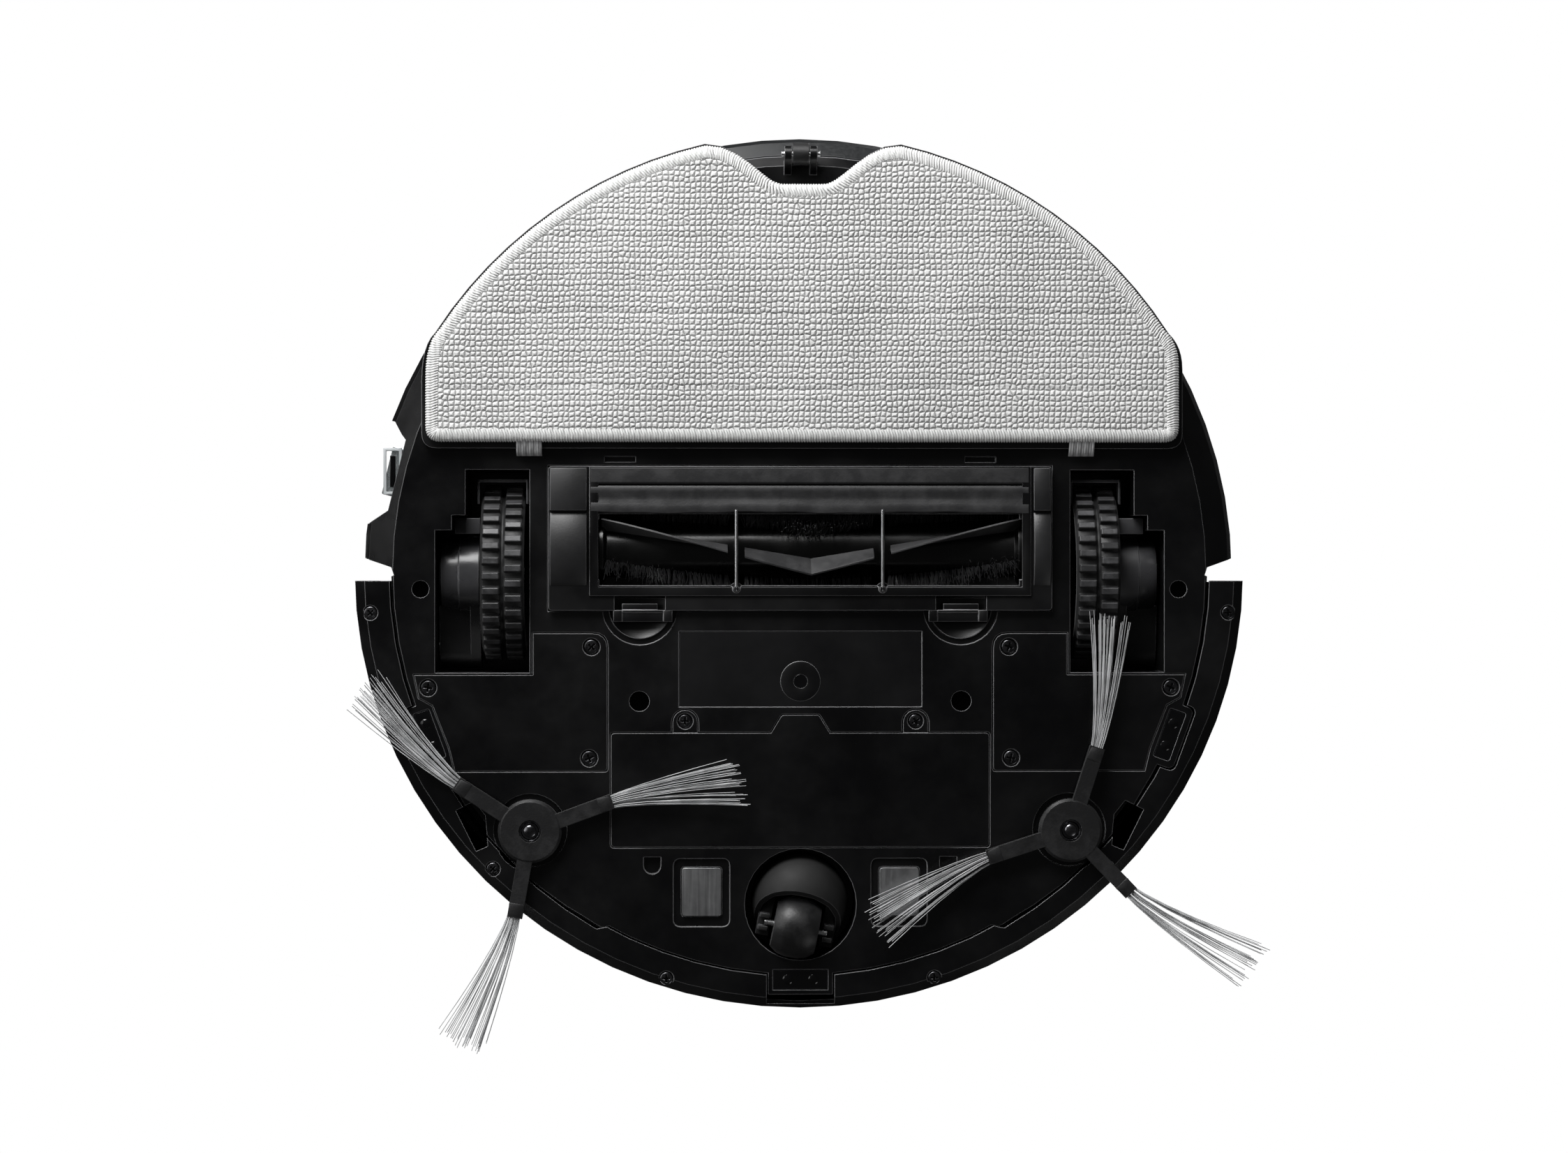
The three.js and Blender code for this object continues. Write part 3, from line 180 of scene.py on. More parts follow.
def loop_pile():
    """Looped microfibre towelling: bright loops in rows, painted grey shade in the thin gaps between them,
    fluffy ends.
    """
    material, tree, at = new_material("microfibre_loop_pile")
    noise = add(tree, "TexNoise", {"Vector": at, "Scale": 1000 / 14, "Detail": 2, "Roughness": 0.6})
    reach = (1.6 * MM, 1.6 * MM, 0.0)
    drift = add(tree, "VectorMath", {0: noise.outputs["Color"], 1: reach}, operation="MULTIPLY")
    wavy = add(tree, "VectorMath", {0: at, 1: drift}, operation="ADD")
    rows = add(tree, "Mapping", {"Vector": wavy, "Scale": (1000 / LOOP, 1000 / LOOP, 1.0)})
    loop = {"Vector": rows, "Scale": 1.0, "Randomness": 0.42}
    gap = add(tree, "TexVoronoi", loop, voronoi_dimensions="2D", feature="DISTANCE_TO_EDGE")
    each = add(tree, "TexVoronoi", loop, voronoi_dimensions="2D").outputs["Color"]
    crown = add(tree, "MapRange", {0: gap, 2: 0.34})
    fibres = add(tree, "TexNoise", {"Vector": at, "Scale": 1000 / 0.5, "Detail": 4, "Roughness": 0.7})
    worn = add(tree, "TexNoise", {"Vector": at, "Scale": 1000 / 45, "Detail": 3, "Roughness": 0.6})
    # The mix starts from grey, painted shade in the gaps between loops, and turns white away from each gap.
    base = linear("#5c5c5c")
    for value, low, high, share, colour in (
        (gap, 0.015, 0.14, 1.0, "#ececeb"), (each, 0.2, 0.8, 0.5, "#d9d9d8"), (worn, 0.42, 0.62, 0.3, "#f4f4f3"),
    ):
        amount = add(tree, "MapRange", {0: value, 1: low, 2: high, 4: share})
        base = add(tree, "Mix", {0: amount, 6: base, 7: linear(colour)}, data_type="RGBA").outputs[2]
    loops = add(tree, "Bump", {"Height": crown, "Distance": 0.75 * MM, "Strength": 0.8})
    bumped = add(tree, "Bump", {"Height": fibres, "Distance": 0.25 * MM, "Strength": 0.5, "Normal": loops})
    return finish_with(material, {
        "Base Color": base, "Roughness": 0.95, "IOR": 1.5, "Normal": bumped,
        "Sheen Weight": 0.25, "Sheen Roughness": 0.6,
    })


def yarn(name, light, dark, ply_mm):
    """Spun thread or elastic: short bands of ply, a soft sheen and loose fibre."""
    material, tree, at = new_material(name)
    ply = add(tree, "TexWave", {
        "Vector": at, "Scale": 1000 / ply_mm / 6.3, "Distortion": 3.0, "Detail": 2.0, "Detail Scale": 2.0,
    })
    fluff = add(tree, "TexNoise", {"Vector": at, "Scale": 1000 / 0.5, "Detail": 4, "Roughness": 0.6})
    base = add(tree, "Mix", {0: ply, 6: linear(dark), 7: linear(light)}, data_type="RGBA").outputs[2]
    bumped = add(tree, "Bump", {"Height": fluff, "Distance": 0.2 * MM, "Strength": 0.6})
    return finish_with(material, {
        "Base Color": base, "Roughness": 0.9, "Normal": bumped, "Sheen Weight": 0.25,
    })


def nylon(name, light, dark):
    """Extruded nylon monofilament: each hair a slightly different grey, satin and a little see-through."""
    material, tree, at = new_material(name)
    hair = add(tree, "TexNoise", {"Vector": at, "Scale": 1000 / 9, "Detail": 1, "Roughness": 0.6})
    patch = add(tree, "MapRange", {0: hair, 1: 0.38, 2: 0.62})
    base = add(tree, "Mix", {0: patch, 6: linear(dark), 7: linear(light)}, data_type="RGBA").outputs[2]
    skin = add(tree, "TexNoise", {"Vector": at, "Scale": 1000 / 0.4, "Detail": 2, "Roughness": 0.6})
    bumped = add(tree, "Bump", {"Height": skin, "Distance": 0.03 * MM, "Strength": 0.4})
    return finish_with(material, {
        "Base Color": base, "Roughness": 0.38, "IOR": 1.53, "Normal": bumped, "Specular IOR Level": 0.6,
    })


def circuit_board(name):
    """Solder mask over copper: faint tracks in two directions."""
    material, tree, at = new_material(name)
    tracks = add(tree, "TexBrick", {
        "Vector": at, "Scale": 60.0, "Color1": linear("#1f4a33"), "Color2": linear("#1a4330"),
        "Mortar": linear("#3f7a52"), "Mortar Size": 0.02,
    })
    bumped = add(tree, "Bump", {"Height": tracks.outputs["Fac"], "Distance": 0.05 * MM, "Strength": 0.5})
    return finish_with(material, {"Base Color": tracks, "Roughness": 0.45, "Normal": bumped})


def pleated(name, light, dark, fold_mm):
    """Folded filter paper: regular pleats, each fold's hollow painted darker as shade, and fibre speckle."""
    material, tree, at = new_material(name)
    folds = add(tree, "TexWave", {"Vector": at, "Scale": 1000 / fold_mm / 6.3, "Distortion": 0.0})
    speck = add(tree, "TexNoise", {"Vector": at, "Scale": 1000 / 0.8, "Detail": 4, "Roughness": 0.6})
    base = add(tree, "Mix", {0: folds, 6: linear(dark), 7: linear(light)}, data_type="RGBA").outputs[2]
    fibre = add(tree, "Bump", {"Height": speck, "Distance": 0.1 * MM})
    bumped = add(tree, "Bump", {"Height": folds, "Distance": 0.8 * MM, "Strength": 0.8, "Normal": fibre})
    return finish_with(material, {"Base Color": base, "Roughness": 0.95, "Normal": bumped})


# The third colour of every moulded finish below is a painted highlight along its edges.
# ABS with a fine spark-eroded skin: matt black shell, with a painted light highlight along its edges. The real
# grit is about 0.1 mm; it is drawn at 0.7 mm so that it shows.
ABS_MATT = moulded("abs_spark_eroded_black", ("#050506", "#080809"), "#a2a2a4", 0.30, 0.7, 0.028)
# Smoother ABS of the brush cover, caster and turret: satin, with broader highlights.
ABS_SATIN = moulded("abs_satin_black", ("#080809", "#0c0c0d"), "#a6a6a8", 0.32, 1.1, 0.02)
# The same ABS ground coarser on the bearing caps, where the light spreads into a broad sheen; its colour is
# painted lighter than the black shell, painted light on caps that lean towards the light.
ABS_CAPS_PAINTED_LIGHT = moulded("abs_coarse_painted_light", ("#1a1a1b", "#202021"), "#9a9a9c", 0.44, 0.9, 0.05)
# Dull black ABS of the roller core, deep inside the brush bay.
ABS_CORE = moulded("abs_dull_black", ("#030303", "#050505"), "#2c2c2d", 0.26, 1.0, 0.03)
# Painted shade behind the blind holes: flat black with foam-like cells and no gloss, so the holes read as holes.
HOLE_SHADE = painted_shade_black("painted_hole_shade_black", "#010101", "#030303")
# Glass-filled nylon of the wheel gearboxes: mid grey with a satin sheen, painted lighter than the arm's nylon as
# painted light on the drum in the shaded wheel well.
NYLON_PAINTED_LIGHTER = moulded("glass_filled_nylon_painted_lighter", ("#3a3a3c", "#4a4a4c"), "#98989a", 0.30, 1.4, 0.03)
# Fine-grained ABS of the caster dome: a soft grey bloom where it turns to the light.
ABS_DOME = moulded("abs_dome_black", ("#050505", "#080808"), "#6a6a6c", 0.66, 0.6, 0.05)
# The arm that carries wheel and gearbox: the same nylon, darker.
ARM_GREY = moulded("glass_filled_nylon_dark", ("#161617", "#202021"), "#8a8a8c", 0.34, 1.4, 0.03)
# Plain inner ABS and nylon mouldings: dark grey, a little waxy.
ABS_INNER = moulded("abs_inner_grey", ("#0e0e0f", "#141415"), "#7c7c7e", 0.30, 1.2, 0.03)
# Polished black ABS of the top deck: deep, clean reflections with a trace of swirl.
ABS_GLOSS = moulded("abs_polished_black", ("#0d0d0e", "#131314"), "#3c3c3e", 0.24, 2.0, 0.01, 0.5, 0.05)
# Drive wheel tyre: moulded rubber, matt dark grey with dusty ribs.
TYRE = elastomer("nitrile_tyre_rubber", "#0b0b0c", "#161617", 0.5)
# Treads of the lugs: the same rubber painted a lighter grey, painted light on the lug tops against the darker
# grooves.
LUG_TOP_PAINTED_LIGHT = elastomer("nitrile_tread_painted_lighter", "#2c2c2d", "#4c4c4e", 0.36)
# Polyurethane tread of the caster: darker and smoother than the tyres.
POLYURETHANE = elastomer("polyurethane_dark_grey", "#0e0e0f", "#1b1b1c", 0.38, 1.6)
# Thermoplastic elastomer of the roller's blades: mid grey, so the V shows against the dark core.
BLADE_RUBBER = elastomer("tpe_blade_grey", "#2c2c2d", "#3c3c3d", 0.42)
# The same elastomer, darker, on the lips behind the brush opening: a dull soft sheen.
LIP_RUBBER = elastomer("tpe_lip_grey", "#262627", "#313132", 0.42)
# Soft elastomer of the brush arms and collars: nearly black, with a powdery bloom.
TPE = elastomer("tpe_soft_grey", "#151516", "#1e1e1f", 0.42)
# Clear polycarbonate of the side sensor's lens: bright rim, faint flow lines.
CLEAR = clear_plastic("polycarbonate_clear", ("#e6ecee", "#dfe6e8"), 0.06, 0.9)
# Infrared-pass acrylic: looks black, shows a sharp reflection.
DARK = moulded("acrylic_infrared_black", ("#070708", "#0b0b0c"), "#2a2a2c", 0.12, 2.4, 0.008, 0.3, 0.04)
# Smoked polycarbonate of the water tank: dark, a little of the inside shows through.
SMOKED = clear_plastic("polycarbonate_smoked", ("#17191b", "#1d2022"), 0.34, 0.25)
# Frosted polycarbonate frame round the side sensor: milky and soft.
FROST = clear_plastic("polycarbonate_frosted", ("#d9dddf", "#c8cccd"), 0.3, 0.2)
# Drawn stainless wire and axles: bright, with fine lines along the wire.
STEEL = metal("stainless_drawn_wire", "#e2e3e4", "#d2d3d4", 0.28, 0.4, 1)
# Nickel-plated charging contacts: brushed grey, duller than the wire.
CHROME = metal("nickel_plated_contact", "#cdcecf", "#b9babc", 0.38, 1.4, 1)
# Black-oxide case screws: dark, slightly oily.
OXIDE = metal("black_oxide_screw", "#77777a", "#4a4a4c", 0.24, 0.5, 0)
# Microfibre towelling of the mop cloth: white loops in rows, with painted grey shade in the gaps.
PILE = loop_pile()
# Polyester yarn wrapped over the cloth's edge: whiter than the loops, banded by its ply.
HEM = yarn("overlock_polyester_yarn", "#f6f6f5", "#dcdcdb", 1.1)
# Ribbed elastic of the mop straps: light grey with shadowed ribs.
ELASTIC = yarn("ribbed_elastic_grey", "#cfcfd0", "#9b9b9c", 1.4)
# Silver-grey nylon bristle of the side brushes: satin, each hair its own grey.
BRISTLE = nylon("nylon_bristle_silver", "#cfd0d1", "#a9aaab")
# Black nylon bristle of the roller: fills the gaps between blades with a dark fringe.
FUZZ = nylon("nylon_bristle_black", "#2a2a2b", "#0e0e0f")
# Green solder mask of the main board: tracks show as paler lines.
BOARD = circuit_board("solder_mask_green")
# Pleated filter paper of the dustbin: cream, with painted shadow in every fold.
PAPER = pleated("filter_paper_pleated", "#ebe9e0", "#c9c7bd", 3.0)
# Polyester label film: smoother and glossier than the shell round it, nothing printed on it.
FILM = moulded("polyester_label_film", ("#0d0d0e", "#131314"), "#2c2c2e", 0.3, 3.0, 0.01, 0.2, 0.05)

NODE_FINISH = {
    "body_black": ABS_MATT, "trim_black": ABS_SATIN, "inner_grey": ABS_INNER, "tyre_rubber": TYRE,
    "soft_rubber": TPE, "clear_lens": CLEAR, "dark_lens": DARK, "steel": STEEL, "contact_chrome": CHROME,
    "tank_tint": SMOKED, "cloth_white": PILE, "bristle_nylon": BRISTLE, "board_green": BOARD,
    "filter_paper": PAPER,
}


# ---- Frame nodes -------------------------------------------------------------------------

def smooth_group():
    """Geometry nodes that weld a faceted mesh and shade it smooth except over sharp edges."""
    group = bpy.data.node_groups.new("smooth_over_soft_edges", "GeometryNodeTree")
    for way in ("INPUT", "OUTPUT"):
        group.interface.new_socket("Geometry", in_out=way, socket_type="NodeSocketGeometry")
    bare = {"Geometry": add(group, "NodeGroupInput"), "Name": "custom_normal"}
    bare = add(group, "GeometryNodeRemoveAttribute", bare)
    weld = add(group, "GeometryNodeMergeByDistance", {"Geometry": bare, "Distance": 0.01 * MM})
    faces = add(group, "GeometryNodeSetShadeSmooth", {"Geometry": weld})
    angle = add(group, "GeometryNodeInputMeshEdgeAngle").outputs["Unsigned Angle"]
    sharp = add(group, "FunctionNodeCompare", {0: angle, 1: math.radians(FOLD)}, operation="GREATER_THAN")
    edges = {"Geometry": faces, "Selection": sharp, "Shade Smooth": False}
    add(group, "NodeGroupOutput", {0: add(group, "GeometryNodeSetShadeSmooth", edges, domain="EDGE")})
    return group


SMOOTH = smooth_group()


def dress_frame():
    """Finishes every CAD node: smooth shading over its curves, and its real material."""
    for name, node in NODES.items():
        node.modifiers.new("smooth", "NODES").node_group = SMOOTH
        for slot in node.material_slots:
            slot.material = NODE_FINISH[slot.material.name.split(".")[0]]
    for name in ("top_shell", "lidar_cap", "power_button", "dock_button"):
        NODES[name].material_slots[0].material = ABS_GLOSS
    for _, tag in SIDES:
        NODES["wheel_arm_" + tag].material_slots[0].material = ARM_GREY
    NODES["caster_wheel"].material_slots[0].material = POLYURETHANE


# ---- Mesh helpers ------------------------------------------------------------------------

def in_scene(name, data):
    """New object in the scene from a mesh, curve, light or camera."""
    made = bpy.data.objects.new(name, data)
    bpy.context.scene.collection.objects.link(made)
    return made


def mesh_of(name, bm):
    """Mesh from a bmesh, which is freed."""
    mesh = bpy.data.meshes.new(name)
    bm.to_mesh(mesh)
    bm.free()
    return mesh


def riding(piece, body):
    """Puts a piece on its body."""
    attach(piece, body)
    return piece


def make(name, bm, material, body, smooth=40.0):
    """Piece from a bmesh, shaded smooth up to an angle in degrees."""
    mesh = mesh_of(name, bm)
    piece = in_scene(name, mesh)
    mesh.materials.append(material)
    mesh.polygons.foreach_set("use_smooth", [True] * len(mesh.polygons))
    if smooth < 180:
        mesh.set_sharp_from_angle(angle=math.radians(smooth))
    return riding(piece, body)


def clean(bm):
    bmesh.ops.remove_doubles(bm, verts=bm.verts, dist=0.004 * MM)
    bmesh.ops.recalc_face_normals(bm, faces=bm.faces)
    return bm


def soften(bm, width_mm, angle=35.0, segments=2):
    """Rounds every edge sharper than an angle."""
    edges = [e for e in bm.edges if len(e.link_faces) == 2 and e.calc_face_angle(0) > math.radians(angle)]
    bmesh.ops.bevel(
        bm, geom=edges, offset=width_mm * MM, segments=segments, profile=0.5, material=-1, affect="EDGES",
    )
    return bm


def open_edges(bm):
    return [e for e in bm.edges if len(e.link_faces) == 1]


def close_up(bm):
    """Fills every open rim and turns the faces outwards."""
    bmesh.ops.holes_fill(bm, edges=open_edges(bm), sides=0)
    bmesh.ops.recalc_face_normals(bm, faces=bm.faces)


def slice_at(bm, point_mm, normal, **clear):
    """Cuts a mesh along a plane; clear_inner or clear_outer drops one side of it."""
    every = bm.verts[:] + bm.edges[:] + bm.faces[:]
    bmesh.ops.bisect_plane(bm, geom=every, plane_co=Vector(point_mm) * MM, plane_no=normal, **clear)


def lathe(profile, steps, centre_mm=(0, 0, 0), axis=(0, 0, 1)):
    """Turned body: profile is (radius, height along the axis) about a centre."""
    bm = bmesh.new()
    axis = Vector(axis)
    side = axis.orthogonal().normalized()
    centre = Vector(centre_mm) * MM
    points = [bm.verts.new(centre + (side * r + axis * h) * MM) for r, h in profile]
    edges = [bm.edges.new(pair) for pair in zip(points, points[1:])]
    bmesh.ops.spin(
        bm, geom=points + edges, cent=centre, axis=axis, angle=2 * math.pi, steps=steps, use_merge=True,
    )
    return clean(bm)


def flat_grid(half, centre, columns=1, rows=1):
    """Level grid from its half widths along X and Y and its centre."""
    bm = bmesh.new()
    bmesh.ops.create_grid(bm, x_segments=columns, y_segments=rows, size=1.0)
    bmesh.ops.scale(bm, vec=(half[0] * MM, half[1] * MM, 1), verts=bm.verts)
    bmesh.ops.translate(bm, vec=Vector(centre) * MM, verts=bm.verts)
    return bm


def box_of(size):
    """Box about the origin from its three widths."""
    bm = bmesh.new()
    bmesh.ops.create_cube(bm, size=1.0)
    bmesh.ops.scale(bm, vec=Vector(size) * MM, verts=bm.verts)
    return bm


def push(bm, faces, by_mm):
    """Extrudes faces as one region, moves the new end and returns it."""
    end = bmesh.ops.extrude_face_region(bm, geom=faces)["geom"]
    moved = [v for v in end if isinstance(v, bmesh.types.BMVert)]
    bmesh.ops.translate(bm, vec=Vector(by_mm) * MM, verts=moved)
    return end


def extruded(section, x, steps=1):
    """Closed bar along X from an outline of (y, z) points."""
    bm = bmesh.new()
    face = bm.faces.new([bm.verts.new(Vector((x[0], v, w)) * MM) for v, w in section])
    for _ in range(steps):
        end = push(bm, [face], ((x[1] - x[0]) / steps, 0, 0))
        if steps > 1 and len(bm.faces) > len(section) + 2:
            bm.faces.remove(face)
        face = next(v for v in end if isinstance(v, bmesh.types.BMFace))
    return clean(bm)


def block(x, y, z, width=0.35):
    """Box between two corners, its edges rounded."""
    return soften(extruded([(y[0], z[0]), (y[1], z[0]), (y[1], z[1]), (y[0], z[1])], x), width, 50)


def across(side, a, b):
    """The stretch of X from a to b on the left, side 1, or mirrored on the right, side -1."""
    return tuple(sorted((side * a, side * b)))


def set_at(x, y, z, angle):
    """Matrix that turns a shape about Z, in radians, and sets it down at a place."""
    return Matrix.Translation(Vector((x, y, z)) * MM) @ Matrix.Rotation(angle, 4, "Z")


def join_into(target, source, matrix=None):
    """Adds a bmesh to another, moved by a matrix, and frees it."""
    if matrix is not None:
        bmesh.ops.transform(source, matrix=matrix, verts=source.verts)
    mesh = mesh_of("joining", source)
    target.from_mesh(mesh)
    bpy.data.meshes.remove(mesh)


def hairs(name, lines, radius, material, body, taper=1.0, sides=1, closed=False):
    """Fine hairs as one curve: each line is a list of points, and taper is the tip's share of the root."""
    curve = bpy.data.curves.new(name, "CURVE")
    curve.dimensions = "3D"
    curve.bevel_depth = radius * MM
    curve.bevel_resolution = sides
    curve.use_fill_caps = not closed
    for line in lines:
        spline = curve.splines.new("POLY")
        spline.points.add(len(line) - 1)
        for i, (point, at) in enumerate(zip(spline.points, line)):
            point.co = (*(Vector(at) * MM), 1.0)
            point.radius = 1.0 + (taper - 1.0) * i / (len(line) - 1)
        spline.use_cyclic_u = closed
    curve.materials.append(material)
    return riding(in_scene(name, curve), body)


# ---- Drive wheels ------------------------------------------------------------------------

LUGS = 36  # in each of the two rows
LUG_HEIGHT = 2.1
BEAD = 29.0  # radius where the tyre sits on its hub


def tyre(side, tag):
    """Tyre with two rows of square lugs, the rows half a pitch apart, and a groove between them."""
    low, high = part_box("tyre_" + tag)
    inner, outer = sorted((abs(low.x) / MM, abs(high.x) / MM))
    height = (low.z + high.z) / 2 / MM
    middle, top = (inner + outer) / 2, (high.z - low.z) / 2 / MM
    bed = top - LUG_HEIGHT
    profile = [
        (BEAD, inner), (bed - 1.0, inner), (bed, inner + 0.8), (bed, middle - 0.9), (bed - 0.7, middle - 0.5),
        (bed - 0.7, middle + 0.5), (bed, middle + 0.9), (bed, outer - 0.8), (bed - 1.0, outer), (BEAD, outer),
        (BEAD, inner),
    ]
    bm = lathe([(r, side * x) for r, x in profile], LUGS * 2, (0, 0, height), X_AXIS)
    for row, (a, b) in enumerate([(inner + 0.8, middle - 0.9), (middle + 0.9, outer - 0.8)]):
        lugs = []
        for face in bm.faces:
            at = face.calc_center_median() / MM
            radius = math.hypot(at.y, at.z - height)
            if a < abs(at.x) < b and radius > bed - 0.3:
                step = int((math.atan2(at.z - height, at.y) % (2 * math.pi)) / (math.pi / LUGS))
                if step % 2 == row:
                    lugs.append(face)
        made = bmesh.ops.extrude_discrete_faces(bm, faces=lugs)["faces"]
        for face in made:
            centre = face.calc_center_median()
            out = Vector((0, centre.y, centre.z - height * MM)).normalized()
            # The lug tops take the second, lighter slot: painted light on them.
            face.material_index = 1
            for vert in face.verts:
                vert.co += out * (LUG_HEIGHT * MM) + (centre - vert.co) * 0.07
    bm.normal_update()
    soften(bm, 0.28, 50, 1)
    piece = make("tyre_tread_" + tag, bm, TYRE, "wheel_" + tag, 30)
    piece.data.materials.append(LUG_TOP_PAINTED_LIGHT)
    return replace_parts(piece, "tyre_" + tag)


# ---- Main brush --------------------------------------------------------------------------

BLADE = {"start": 149.0, "sweep": 69.0}  # degrees about the roller's axis; 180 points straight down
ROLLER = {"left": -88.2, "right": 79.6, "core": 11.6}  # ends of the bristled length, and its core's radius
WIRE_GAP = 3.4  # clear space in the blades each side of a guard wire


def blades(centre_mm, middle, ends, wires):
    """Three rubber blades swept into a V about the middle, cut away where the guard wires pass."""
    bm = bmesh.new()
    y, z = centre_mm
    centre = Vector((0, y, z)) * MM
    for blade in range(3):
        for end in ends:
            section = [(10.4, -2.8), (15.0, -1.8), (19.6, -0.5), (19.6, 0.3), (15.0, -0.3), (10.4, -0.8)]
            verts = [bm.verts.new(Vector((middle, y + off, z + radius)) * MM) for radius, off in section]
            face = bm.faces.new(verts)
            turn = Matrix.Rotation(math.radians(BLADE["start"] + 120 * blade), 3, "X")
            bmesh.ops.rotate(bm, cent=centre, matrix=turn, verts=verts)
            bmesh.ops.spin(
                bm, geom=[face], cent=centre, axis=X_AXIS, angle=math.radians(BLADE["sweep"]),
                dvec=((end - middle) / 16 * MM, 0, 0), steps=16,
            )
    clean(bm)
    for wire in wires:
        for x in (wire - WIRE_GAP, wire + WIRE_GAP):
            slice_at(bm, (x, 0, 0), X_AXIS)
        cut = [f for f in bm.faces if abs(f.calc_center_median().x / MM - wire) < WIRE_GAP - 0.05]
        bmesh.ops.delete(bm, geom=cut, context="FACES")
    close_up(bm)
    return bm


def main_brush():
    """Roller: dark core with end flanges, V blades, and rows of black bristle between them."""
    low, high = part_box("main_brush_roller")
    y, z = (low.y + high.y) / 2 / MM, (low.z + high.z) / 2 / MM
    left, right, core = ROLLER["left"], ROLLER["right"], ROLLER["core"]
    middle = (left + right) / 2
    wires = [sum(v.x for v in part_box(f"guard_wire_{k}")) / 2 / MM for k in (1, 2)]
    bm = lathe([
        (0.01, left - 7.4), (4.6, left - 7.4), (4.6, left), (core + 2.4, left), (core + 2.4, left + 1.6),
        (core, left + 3), (core, middle - 20), (core, middle + 20), (core, right - 3),
        (core + 2.4, right - 1.6), (core + 2.4, right), (4.6, right), (4.6, right + 6.6), (0.01, right + 6.6),
    ], 40, (0, y, z), X_AXIS)
    body = make("main_brush_core", bm, ABS_CORE, "roller", 35)
    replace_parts(body, "main_brush_roller")
    bm = blades((y, z), middle, (right - 1, left + 1), wires)
    make("main_brush_blades", bm, BLADE_RUBBER, "roller", 35)
    rows = []
    chance = random.Random(5)
    for row in range(3):
        for end in (right - 2, left + 2):
            for k in range(40):
                share = (k + 0.5) / 40
                x = middle + (end - middle) * share
                if min(abs(x - wire) for wire in wires) < 3.0:
                    continue
                angle = math.radians(BLADE["start"] - 60 + 120 * row + BLADE["sweep"] * share)
                for _ in range(15):
                    lean = angle + chance.gauss(0, 0.13)
                    dx, tip = chance.gauss(0, 0.9), 19.2 + chance.uniform(-1.8, 0.6)
                    rows.append([
                        (x + dx * out, y - math.sin(at) * radius, z + math.cos(at) * radius)
                        for out, at, radius in ((0.4, angle, core - 0.5), (0.8, lean, 16), (1.4, lean, tip))
                    ])
    hairs("main_brush_bristles", rows, 0.13, FUZZ, "roller", 0.7, 0)


def rib_ring(x, y, width, z):
    """Raised rectangular frame of even width, from its outer edges x and y."""
    centre = ((x[0] + x[1]) / 2, (y[0] + y[1]) / 2, z[0])
    bm = flat_grid(((x[1] - x[0]) / 2, (y[1] - y[0]) / 2), centre)
    bmesh.ops.inset_region(
        bm, faces=bm.faces[:], thickness=width * MM, use_even_offset=True, use_boundary=True,
    )
    middle = min(bm.faces, key=lambda f: (f.calc_center_median() - Vector(centre) * MM).length)
    bmesh.ops.delete(bm, geom=[middle], context="FACES_ONLY")
    push(bm, bm.faces[:], (0, 0, z[1] - z[0]))
    return soften(clean(bm), 0.25, 50)


def bearing_cap(x, y, z_low):
    """Barrel-shaped cap over a brush bearing: flat ends with a round swelling between them."""
    half, rise = 14.6, 3.6
    radius = (half * half + rise * rise) / (2 * rise)
    span = math.asin(half / radius)
    turns = np.linspace(-span, span, 15)
    arc = [(y + radius * math.sin(a), z_low - rise + radius * (1 - math.cos(a))) for a in turns]
    return soften(extruded([(y - half, z_low + 0.6), *arc, (y + half, z_low + 0.6)], x), 0.35, 50)


def tilted_plate(x, y, z, back):
    """Flat plate whose face leans towards the rear."""
    return soften(extruded([(y[0], z[0]), (y[1], z[1]), (y[1], back), (y[0], back)], x), 0.35, 50)


def lips():
    """Two soft rubber rolls behind the brush opening, their free edge a little wavy."""
    length = (-90.2, 82.8)
    rolls = extruded([
        (34.9, 8.3), (34.9, 6.7), (35.5, 6.2), (38.2, 6.05), (41.0, 6.2), (41.5, 6.7), (41.5, 8.3),
    ], length)
    wavy = extruded([
        (23.5, 8.3), (23.3, 7.0), (23.7, 6.3), (25.0, 6.05), (26.9, 6.2), (28.4, 6.75), (29.9, 6.75),
        (31.6, 6.2), (33.2, 6.1), (34.0, 6.5), (34.2, 7.0), (34.2, 8.3),
    ], length, 60)
    for vert in wavy.verts:
        if vert.co.y < 27 * MM:
            x = vert.co.x / MM
            vert.co.y += (0.28 * math.sin(x * 0.09) + 0.16 * math.sin(x * 0.31 + 1)) * MM
    join_into(rolls, wavy)
    piece = make("cover_lip_rolls", rolls, LIP_RUBBER, "cover", 35)
    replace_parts(piece, "cover_lips")


def latch_tabs():
    """Finger tabs of the brush cover: a grooved bar with raised ends, on a stem that enters its slot."""
    for side, tag in SIDES:
        bm = block(across(side, 50.6, 74.0), (-19.6, -14.9), (7.9, 9.4))
        for a, b in ((50.6, 54.2), (70.4, 74.0)):
            join_into(bm, block(across(side, a, b), (-19.6, -14.9), (7.2, 8.2)))
        join_into(bm, block(across(side, 54.2, 70.4), (-15.9, -14.9), (7.4, 8.2), 0.2))
        join_into(bm, block(across(side, 56.5, 70.5), (-15.3, -12.4), (8.4, 9.6), 0.2))
        tab = make("cover_tab_grip_" + tag, bm, ABS_SATIN, "cover_tab_" + tag, 35)
        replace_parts(tab, "cover_latch_" + tag)


def wall_sensor():
    """Frosted frame and dark slot on the lower face of the side sensor's window."""
    low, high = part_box("wall_sensor_lens")
    x, y, z = (low.x / MM, high.x / MM), (low.y / MM, high.y / MM), low.z / MM
    rim = rib_ring((x[0] + 0.6, x[1] - 0.6), (y[0] + 0.6, y[1] - 0.6), 1.2, (z - 0.8, z + 0.1))
    make("wall_sensor_frame", rim, FROST, "chassis", 35)
    slot = block((x[0] + 3.2, x[1] - 3.2), (y[0] + 3.6, y[1] - 3.6), (z - 0.3, z + 0.2), 0.2)
    make("wall_sensor_slot", slot, DARK, "chassis", 35)


